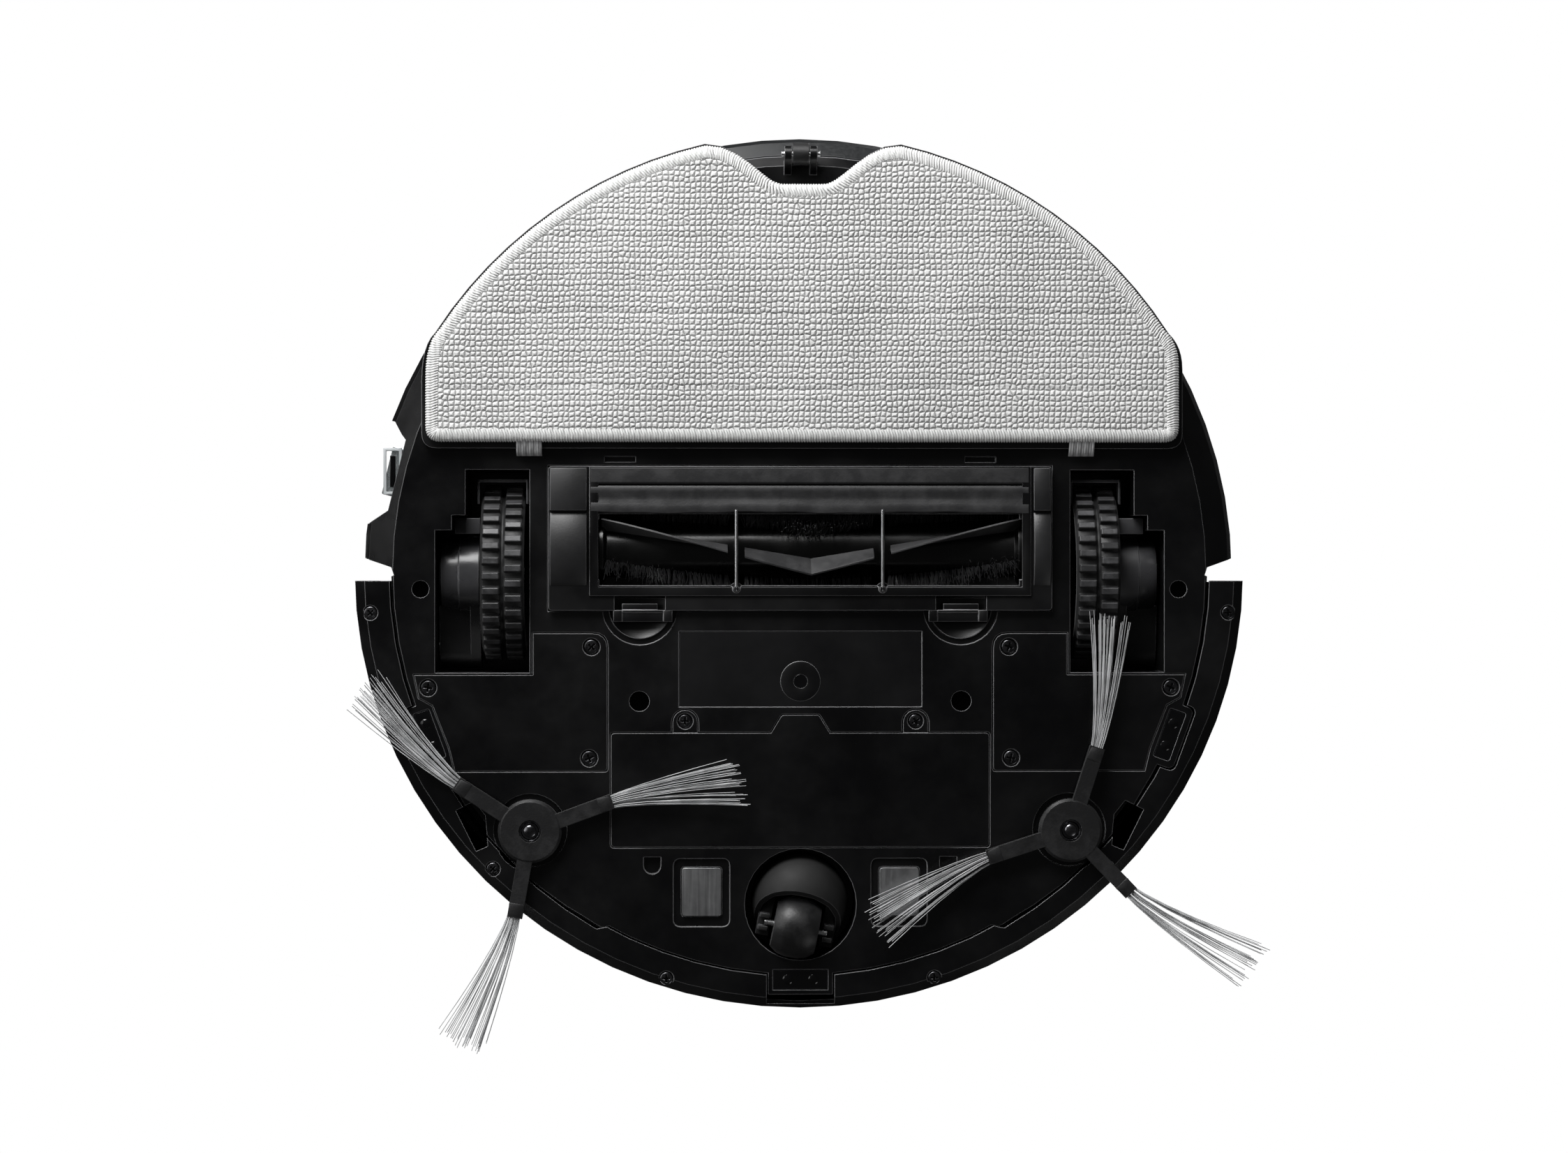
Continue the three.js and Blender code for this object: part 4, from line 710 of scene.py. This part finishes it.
def wheel_brackets():
    """Stepped gearbox drum of each wheel, and thin guard walls of its arm round the rear of the tyre."""
    walls = [
        ((107.8, 127.9), (35.6, 36.8), (17.5, 26.0)), ((107.7, 108.6), (27.0, 36.8), (17.5, 26.0)),
        ((127.0, 127.9), (27.0, 36.8), (17.5, 26.0)), ((127.0, 137.0), (15.2, 21.5), (18.0, 24.0)),
    ]
    drum = [
        (0.01, 143.6), (11.5, 143.6), (14.0, 142.6), (14.8, 140.8), (14.8, 135.8), (15.4, 135.4),
        (15.4, 127.6), (0.01, 127.6),
    ]
    for side, tag in SIDES:
        bm = bmesh.new()
        for x, y, z in walls:
            join_into(bm, block(across(side, *x), y, z, 0.25))
        join_into(bm, lathe([(r, side * x) for r, x in drum], 64, (0, -1.0, 33.6), X_AXIS))
        make("wheel_gearbox_" + tag, bm, NYLON_PAINTED_LIGHTER, "arm_" + tag, 35)


def blind_holes():
    """Flat black discs at the bottom of the round holes in the chassis: painted shade in the holes."""
    bm = bmesh.new()
    for x, y, r in ((63.7, -51.0, 3.9), (150.0, -6.7, 3.3)):
        plug = [(0.01, 10.3), (r - 0.3, 10.3), (r, 10.15), (r, 11.3), (0.01, 11.3)]
        for side, _ in SIDES:
            join_into(bm, lathe(plug, 28, (side * x, y, 0)))
    make("hole_painted_shade", bm, HOLE_SHADE, "chassis")


def cover_details():
    """Relief of the brush cover: raised frame, bearing caps, feet of the guard wires."""
    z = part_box("brush_cover")[0].z / MM
    relief = rib_ring((-91.2, 83.4), (-9.4, 41.8), 3.6, (z - 0.9, z + 0.3))
    caps = bmesh.new()
    for x in ((84.4, 98.9), (-98.9, -92.2)):
        join_into(caps, bearing_cap(x, 9.1, z))
        join_into(caps, tilted_plate(x, (24.3, 41.2), (z - 1.7, z - 0.1), z + 0.3))
    make("brush_cover_caps", caps, ABS_CAPS_PAINTED_LIGHT, "cover", 35)
    for k in (1, 2):
        low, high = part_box(f"guard_wire_{k}")
        at = ((low.x + high.x) / 2 / MM, low.y / MM + 0.9, z)
        join_into(relief, lathe([(0.01, -1.5), (1.1, -1.4), (2.1, -0.3), (2.6, 0.4), (0.01, 0.4)], 20, at))
    make("brush_cover_relief", relief, ABS_SATIN, "cover", 35)


def finger_scoops():
    """Bowls pressed beside the cover latches, where a fingertip pushes; cut off clear of the roller."""
    bm = bmesh.new()
    for side, _ in SIDES:
        join_into(bm, lathe([
            (0.01, 12.0), (4, 11.9), (7.5, 11.6), (10.2, 11.0), (11.8, 10.3), (12.3, 10.1), (12.3, 12.15),
            (0.01, 12.15),
        ], 40, (side * 63.5, -14.0, 0)))
    slice_at(bm, (0, -10.2, 0), (0, 1, 0), clear_outer=True)
    close_up(bm)
    make("finger_scoops", bm, ABS_MATT, "chassis", 40)


# ---- Caster ------------------------------------------------------------------------------

CASTER = {"x": 0.0, "y": -131.4, "turn": 11.0}  # the swivel's axis, and how far it has turned in degrees


def caster():
    """Domed swivel cut on a slant so that the wheel shows in an arch, with cheeks that hold the axle."""
    dome = lathe([
        (0.01, 3.4), (3, 3.5), (6, 3.9), (9, 4.7), (12, 6.0), (14.4, 7.7), (16.4, 9.8), (17.9, 12.4),
        (18.9, 15.6), (19.2, 19), (19.2, 34.5), (4, 34.5), (4, 38), (0.01, 38),
    ], 64)
    join_into(dome, lathe([
        (0.01, 5.0), (5.6, 5.4), (11, 7.3), (14.8, 10.6), (16.7, 14), (17.6, 19), (17.6, 32.5), (0.01, 32.5),
    ], 64))
    slant = Vector((0, 1, 1.19)).normalized()
    slice_at(dome, (0, 5.1, 4.05), slant, clear_inner=True)
    bmesh.ops.triangle_fill(dome, edges=open_edges(dome), use_beauty=True, use_dissolve=False, normal=-slant)
    bmesh.ops.recalc_face_normals(dome, faces=dome.faces)
    for side, _ in SIDES:
        join_into(dome, block(across(side, 10.2, 15.4), (-15.0, 3.0), (13.6, 30.0)))
        for y in (-12.9, -7.9):
            join_into(dome, block(across(side, 11.0, 14.8), (y, y + 1.8), (10.6, 14.2), 0.25))
    turn = set_at(CASTER["x"], CASTER["y"], 0, math.radians(CASTER["turn"]))
    bmesh.ops.transform(dome, matrix=turn, verts=dome.verts)
    piece = make("caster_dome", dome, ABS_DOME, "caster_swivel", 40)
    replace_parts(piece, "caster_fork")


# ---- Side brushes ------------------------------------------------------------------------

HUB = (106.7, -102.0)  # axis of the left brush, mirrored on the right
ARM_END = 30.5  # where a tuft leaves its arm, out from the axis
# Per tuft: direction where it leaves its arm, direction of its fanned tip, reach from the axis.
TUFTS = {
    "left": [(160, 167, 86), (33, 41, 86), (-80, -73, 88)],
    "right": [(108, 100, 86), (-18, -26, 86), (-134, -143, 90)],
}


def unit(degrees):
    """Level direction at an angle from +X."""
    return Vector((math.cos(math.radians(degrees)), math.sin(math.radians(degrees))))


def side_brush(side, tag):
    """Fans of silver nylon bristle, bent a little the way the brush has been turning, and a screwed hub."""
    hub, body = Vector((side * HUB[0], HUB[1])), "side_brush_" + tag
    chance = random.Random(11 if side > 0 else 23)
    strands = []
    for leave, tip, reach in TUFTS[tag]:
        out = unit(leave)
        sideways = Vector((-out.y, out.x))
        ahead = unit(tip) * reach
        for _ in range(38):
            place = chance.uniform(-1, 1)
            depth = chance.uniform(-1, 1)
            root = hub + out * ARM_END + sideways * (place * 2.1)
            fan = place * 9.2 + chance.gauss(0, 1.1)
            far = ahead.normalized() * (reach + chance.uniform(-4.5, 1.5))
            end = hub + far + Vector((-ahead.y, ahead.x)).normalized() * fan
            line = []
            for k in range(6):
                t = k / 5
                straight = root.lerp(hub + out * 64 + sideways * (place * 5.5), t)
                at = straight.lerp(root.lerp(end, t), t ** 0.7)
                height = 6.3 + depth * 0.9 * (1 - t * 0.3) - 3.9 * t ** 1.3
                line.append((at.x, at.y, max(0.9, height)))
            strands.append(line)
    bristles = hairs(f"side_brush_bristles_{tag}", strands, 0.18, BRISTLE, body, 0.8)
    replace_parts(bristles, *[f"tuft_{tag}_{k}" for k in (1, 2, 3)])
    collars = bmesh.new()
    for leave, _, _ in TUFTS[tag]:
        ring = box_of((5.6, 6.4, 3.1))
        bmesh.ops.scale(ring, vec=(1, 0.82, 0.9), verts=[v for v in ring.verts if v.co.x > 0])
        soften(ring, 0.7)
        reached = Matrix.Translation(((ARM_END + 1) * MM, 0, 0))
        join_into(collars, ring, set_at(hub.x, hub.y, 5.95, math.radians(leave)) @ reached)
    make(f"side_brush_collars_{tag}", collars, TPE, body)
    clip = lathe([
        (0.01, 5.2), (1.6, 5.2), (2.0, 5.6), (2.0, 6.6), (3.4, 6.6), (3.8, 6.0), (4.3, 6.0),
    ], 24, (hub.x, hub.y, 0))
    cut = [f for f in clip.faces if f.calc_center_median().z < 5.5 * MM]
    bmesh.ops.inset_region(clip, faces=cut, thickness=0.35 * MM, depth=-0.5 * MM)
    bmesh.ops.solidify(clip, geom=clip.faces[:], thickness=0.3 * MM)
    make(f"side_brush_clip_{tag}", clean(clip), OXIDE, body)


# ---- Screws, label, sensors --------------------------------------------------------------

# Body that holds the screws, their radius, their height, and their places on the left, all mirrored.
CASE_SCREWS = [
    ("chassis", 3.0, 10.2, [(82.6, -29.5), (147, -45.6), (83.5, -73.5)]),
    ("chassis", 2.8, 10.5, [(45.6, -58.9)]),
    ("bumper", 2.6, 8.7, [(169.6, -16), (121.4, -117), (53, -160.4)]),
]


def screw_head(radius):
    """Pan head with a crossed recess, facing down, its rim at z = 0."""
    head = mesh_of("screw", lathe([
        (0.01, -0.25), (radius * 0.55, -0.2), (radius * 0.88, -0.05), (radius, 0.3), (radius, 0.9),
        (0.01, 0.9),
    ], 28))
    cross = box_of((radius * 1.15, radius * 0.26, 1.6))
    join_into(cross, box_of((radius * 0.26, radius * 1.15, 1.6)))
    holder, knife = in_scene("screw", head), in_scene("cross", mesh_of("cross", cross))
    cut = holder.modifiers.new("cross", "BOOLEAN")
    cut.object, cut.operation, cut.solver, cut.use_self = knife, "DIFFERENCE", "EXACT", True
    shaped = bmesh.new()
    shaped.from_object(holder, bpy.context.evaluated_depsgraph_get())
    for item in (holder, knife):
        bpy.data.objects.remove(item)
    return shaped


def screws():
    chance = random.Random(3)
    made = {}
    for body, radius, height, places in CASE_SCREWS:
        bm = made.setdefault(body, bmesh.new())
        for side, _ in SIDES:
            for x, y in places:
                turn = chance.uniform(0, math.pi)
                join_into(bm, screw_head(radius), set_at(side * x, y, height, turn))
    for body, bm in made.items():
        make("case_screws_" + body, bm, OXIDE, body, 30)


def label_film():
    """Blank label film in its recess, with a punched hole over the middle case screw."""
    bm = flat_grid((47.7, 14.7), (0, -38.3, 10.28))
    bmesh.ops.bevel(
        bm, geom=bm.verts[:], offset=0.8 * MM, segments=3, profile=0.5, material=-1, affect="VERTICES",
    )
    bmesh.ops.solidify(bm, geom=bm.faces[:], thickness=0.08 * MM)
    make("label_film_blank", clean(bm), FILM, "chassis")
    seal = (0, -43.1, 0)
    ring = [(2.7, 10.2), (3.1, 10.08), (7.6, 10.1), (8.0, 10.2), (8.0, 10.3), (2.7, 10.3), (2.7, 10.2)]
    make("seal_ring", lathe(ring, 40, seal), ABS_SATIN, "chassis")
    # The dark disc in the punched hole is painted shade, standing for the dark inside of the hole.
    hole = [(0.01, 10.14), (2.2, 10.14), (2.7, 10.06), (2.7, 10.25), (0.01, 10.25)]
    make("seal_hole_painted_shade", lathe(hole, 32, seal), DARK, "chassis")


def floor_sensor(name, centre, length, angle):
    """Two round lenses behind a floor sensor window."""
    bm = bmesh.new()
    for off in (-0.24, 0.24):
        lens = lathe([(0.01, -0.5), (1.1, -0.35), (1.9, 0.0), (2.1, 0.1), (2.1, 0.3), (0.01, 0.3)], 24)
        along = Matrix.Translation((0, off * length * MM, 0))
        join_into(bm, lens, set_at(*centre, 10.15, math.radians(angle)) @ along)
    make(name, bm, DARK, "chassis")


# ---- Mop ---------------------------------------------------------------------------------

# Grid step, where the pad starts inside its outline, height of its rim, how far it swells down from
# there, and the height of its rows.
PAD = {"step": 0.8, "inset": 1.2, "rim": 3.7, "crown": 1.75, "relief": 0.28}


def edge_of(node, height_mm):
    """Outline of a flat CAD plate's lower face as an ordered loop of points in millimetres."""
    bm = bmesh.new()
    bm.from_mesh(NODES[node].data)
    bmesh.ops.remove_doubles(bm, verts=bm.verts, dist=0.01 * MM)
    wrong = [f for f in bm.faces if f.normal.z > -0.9 or abs(f.calc_center_median().z / MM - height_mm) > 0.3]
    bmesh.ops.delete(bm, geom=wrong, context="FACES")
    rest = set(open_edges(bm))
    step = open_edges(bm)[0]
    loop = [step.verts[0]]
    while step:
        rest.discard(step)
        loop.append(step.other_vert(loop[-1]))
        step = next((e for e in loop[-1].link_edges if e in rest), None)
    points = np.array([(v.co.x / MM, v.co.y / MM) for v in loop])
    bm.free()
    points = points[:-1] if np.allclose(points[0], points[-1]) else points
    area = 0.5 * np.sum(points[:, 0] * np.roll(points[:, 1], -1) - np.roll(points[:, 0], -1) * points[:, 1])
    return points if area > 0 else points[::-1], abs(area)


def even(points, pitch):
    """The closed outline again, in even steps."""
    ring = np.vstack([points, points[:1]])
    run = np.concatenate([[0], np.cumsum(np.linalg.norm(np.diff(ring, axis=0), axis=1))])
    count = int(round(run[-1] / pitch))
    where = np.linspace(0, run[-1], count, endpoint=False)
    return np.column_stack([np.interp(where, run, ring[:, k]) for k in (0, 1)])


def inside_distance(at, ring):
    """Signed distance in from a closed outline, for many points."""
    best = np.full(len(at), np.inf)
    crossing = np.zeros(len(at), int)
    for a, b in zip(ring, np.roll(ring, -1, axis=0)):
        d = b - a
        t = np.clip(((at - a) @ d) / (d @ d), 0, 1)
        best = np.minimum(best, np.linalg.norm(at - (a + t[:, None] * d), axis=1))
        if d[1] != 0:
            spans = (a[1] > at[:, 1]) != (b[1] > at[:, 1])
            crossing += spans & (at[:, 0] < a[0] + (at[:, 1] - a[1]) * d[0] / d[1])
    return np.where(crossing % 2 == 1, best, -best)


def row_relief(at):
    """Gentle relief of the knitted rows and the cloth's slack, from -1 to 1, for points in millimetres."""
    x, y = at[:, 0], at[:, 1]
    wander = 0.5 * np.sin(x * 0.043 + 1.3) + 0.3 * np.sin(x * 0.119 + y * 0.01)
    rows = np.sin((y + wander) * 2 * math.pi / (LOOP * 2))
    slack = np.sin(x * 0.055 + 0.6) * np.sin(y * 0.075) + 0.5 * np.sin(x * 0.13 + y * 0.09)
    seam = -np.exp(-((np.mod(y + wander, 29.0) - 14.5) / 1.1) ** 2)
    return 0.35 * rows + 0.6 * slack + 0.9 * seam


def mop_cloth():
    """Towelling pad: rows of loops, sunk lines between row groups, a bound edge and two elastic straps."""
    low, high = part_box("mop_cloth")
    span, middle = (high - low) / MM, (low + high) / 2 / MM
    ring, area = edge_of("mop_cloth", low.z / MM)
    ring = even(ring, 2.0)
    counts = int(span.x / PAD["step"]), int(span.y / PAD["step"])
    bm = flat_grid((span.x / 2, span.y / 2), (middle.x, middle.y, 0), *counts)
    depth = inside_distance(np.array([v.co[:2] for v in bm.verts]) / MM, ring)
    outside = [v for v, d in zip(bm.verts, depth) if d < PAD["inset"]]
    bmesh.ops.delete(bm, geom=outside, context="VERTS")
    at = np.array([v.co[:2] for v in bm.verts]) / MM
    depth = inside_distance(at, ring)
    fade = np.clip((depth - 3.0) / 4.0, 0, 1)
    crown = np.clip((depth - 1.5) / 4.5, 0, 1) ** 0.5
    sunk = PAD["crown"] * crown + PAD["relief"] * fade * row_relief(at)
    for vert, z in zip(bm.verts, np.maximum(PAD["rim"] - sunk, low.z / MM)):
        vert.co.z = z * MM
    for part in bmesh.ops.extrude_edge_only(bm, edges=open_edges(bm))["geom"]:
        if isinstance(part, bmesh.types.BMVert):
            part.co.z = high.z - 0.15 * MM
    bmesh.ops.holes_fill(bm, edges=open_edges(bm), sides=0)
    bmesh.ops.triangulate(bm, faces=[f for f in bm.faces if len(f.verts) > 4])
    bmesh.ops.recalc_face_normals(bm, faces=bm.faces)
    cloth = make("mop_towelling", bm, PILE, "mop", 180)
    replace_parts(cloth, "mop_cloth")
    hem, stitches = bound_edge(ring)
    straps = elastic_straps()


def inward(ring, distance):
    """The outline moved in by a distance; the outline runs anticlockwise."""
    ahead, behind = np.roll(ring, -1, axis=0), np.roll(ring, 1, axis=0)
    along = ahead - behind
    along /= np.linalg.norm(along, axis=1)[:, None]
    return ring + np.column_stack([-along[:, 1], along[:, 0]]) * distance


def bound_edge(ring):
    """Overlocked rim: a soft round core along the edge, and yarn wrapped over it stitch by stitch."""
    line = [(x, y, 3.75) for x, y in inward(ring, 1.9)]
    core = hairs("mop_hem", [line], 1.5, HEM, "mop", sides=3, closed=True)
    chance = random.Random(8)
    fine = even(ring, 1.05)
    outer, middle, inner = inward(fine, 0.4), inward(fine, 2.2), inward(fine, 4.9)
    stitches = []
    for o, m, i in zip(outer, middle, np.roll(inner, -1, axis=0)):
        slack = chance.uniform(-0.12, 0.12)
        stitches.append([
            (*o, 4.5), (*(o * 0.85 + m * 0.15), 3.0), (*m, 2.15 + slack * 0.5),
            (*(m * 0.4 + i * 0.6), 1.95 + slack), (*i, 2.3),
        ])
    return core, hairs("mop_hem_stitches", stitches, 0.5, HEM, "mop", 0.9)


def elastic_straps():
    """Two short ribbed elastic bands from the cloth's straight edge up onto its plate."""
    bm = bmesh.new()
    for x0, x1 in ((102.0, 112.0), (-116.0, -106.0)):
        band = bmesh.new()
        bmesh.ops.create_grid(band, x_segments=40, y_segments=6, size=1.0)
        for vert in band.verts:
            u, v = (vert.co.x + 1) / 2, (vert.co.y + 1) / 2
            rib = 0.22 * abs(math.sin(u * math.pi * 10))
            vert.co = Vector((x0 + (x1 - x0) * u, 45.8 + 6.4 * v, 7.6 - 4.4 * v ** 0.6 - rib)) * MM
        bmesh.ops.solidify(band, geom=band.faces[:], thickness=-0.7 * MM)
        join_into(bm, band)
    bmesh.ops.recalc_face_normals(bm, faces=bm.faces)
    return make("mop_elastic_straps", bm, ELASTIC, "mop")


# ---- Studio ------------------------------------------------------------------------------

def soft_light(name, at, towards, size, power):
    data = bpy.data.lights.new(name, "AREA")
    data.shape, data.size, data.energy = "DISK", size, power
    lamp = in_scene(name, data)
    lamp.location = at
    lamp.rotation_euler = (Vector(towards) - Vector(at)).to_track_quat("-Z", "Y").to_euler()


WHITE = (1.0, 1.0, 1.0, 1.0)


def studio():
    """Pale floor seen only from above, white surround, soft lights below and above."""
    mesh = mesh_of("floor", flat_grid((9000, 9000), (0, 0, 0)))
    floor = in_scene("floor", mesh)
    material, tree, _ = new_material("pale_floor")
    shader = add(tree, "BsdfPrincipled", {
        "Base Color": linear("#b4b4b3"), "Roughness": 0.8, "Emission Color": WHITE, "Emission Strength": 0.4,
    })
    back = add(tree, "NewGeometry").outputs["Backfacing"]
    mixed = add(tree, "MixShader", {0: back, 1: shader, 2: add(tree, "BsdfTransparent")})
    add(tree, "OutputMaterial", {"Surface": mixed})
    mesh.materials.append(material)
    floor.visible_shadow = floor.visible_diffuse = floor.visible_glossy = floor.visible_transmission = False

    world = bpy.data.worlds.new("white_surround")
    bpy.context.scene.world = world
    world.use_nodes = True
    tree = world.node_tree
    tree.nodes.clear()
    seen, lit = (add(tree, "Background", {"Color": WHITE, "Strength": power}) for power in (1.0, 0.035))
    by_camera = add(tree, "LightPath").outputs["Is Camera Ray"]
    add(tree, "OutputWorld", {0: add(tree, "MixShader", {0: by_camera, 1: lit, 2: seen})})

    # In metres: place, point aimed at, diameter and power.
    soft_light("window_rear", (0.34, 0.92, -0.56), (0, 0.03, 0), 0.72, 16.5)
    soft_light("window_left", (1.1, 0.35, -0.75), (0, 0, 0), 1.0, 5)
    soft_light("fill_front", (-0.9, -1.2, -0.7), (0, 0, 0), 0.7, 2)
    soft_light("overhead", (0.6, -0.6, 1.7), (0, 0, 0), 1.4, 22)
    soft_light("sky_rear", (-1.0, 1.5, 1.15), (0, 0, 0.09), 1.2, 15)
    soft_light("sky_front", (0.9, -1.5, 1.2), (0, 0, 0.09), 1.3, 12)
    bpy.context.scene.view_settings.view_transform = "Standard"


def camera():
    """Camera below the robot, looking straight up with the mop at the top of the frame."""
    data = bpy.data.cameras.new("camera")
    data.lens, data.sensor_width = 85.0, 36.0
    eye = in_scene("camera", data)
    at, towards = Vector((0.046, -0.0017, -1.454)), Vector((0.0065, -0.0017, 0.010))
    forward = (towards - at).normalized()
    right = forward.cross(Vector((0, 1, 0))).normalized()
    up = right.cross(forward)
    eye.matrix_world = Matrix.Translation(at) @ Matrix((right, up, -forward)).transposed().to_4x4()
    data.clip_start, data.clip_end = 0.05, 20
    bpy.context.scene.camera = eye


# ---- Assembly ----------------------------------------------------------------------------

camera()
dress_frame()
for side, tag in SIDES:
    tyre(side, tag)
    side_brush(side, tag)
main_brush()
cover_details()
lips()
latch_tabs()
blind_holes()
wall_sensor()
wheel_brackets()
caster()
finger_scoops()
screws()
label_film()
floor_sensor("floor_sensor_lenses_left", (146.5, -64.4), 19.5, -20)
floor_sensor("floor_sensor_lenses_right", (-146.5, -64.4), 19.5, 20)
floor_sensor("floor_sensor_lenses_front", (0.0, -161.2), 21.2, 90)
mop_cloth()
studio()
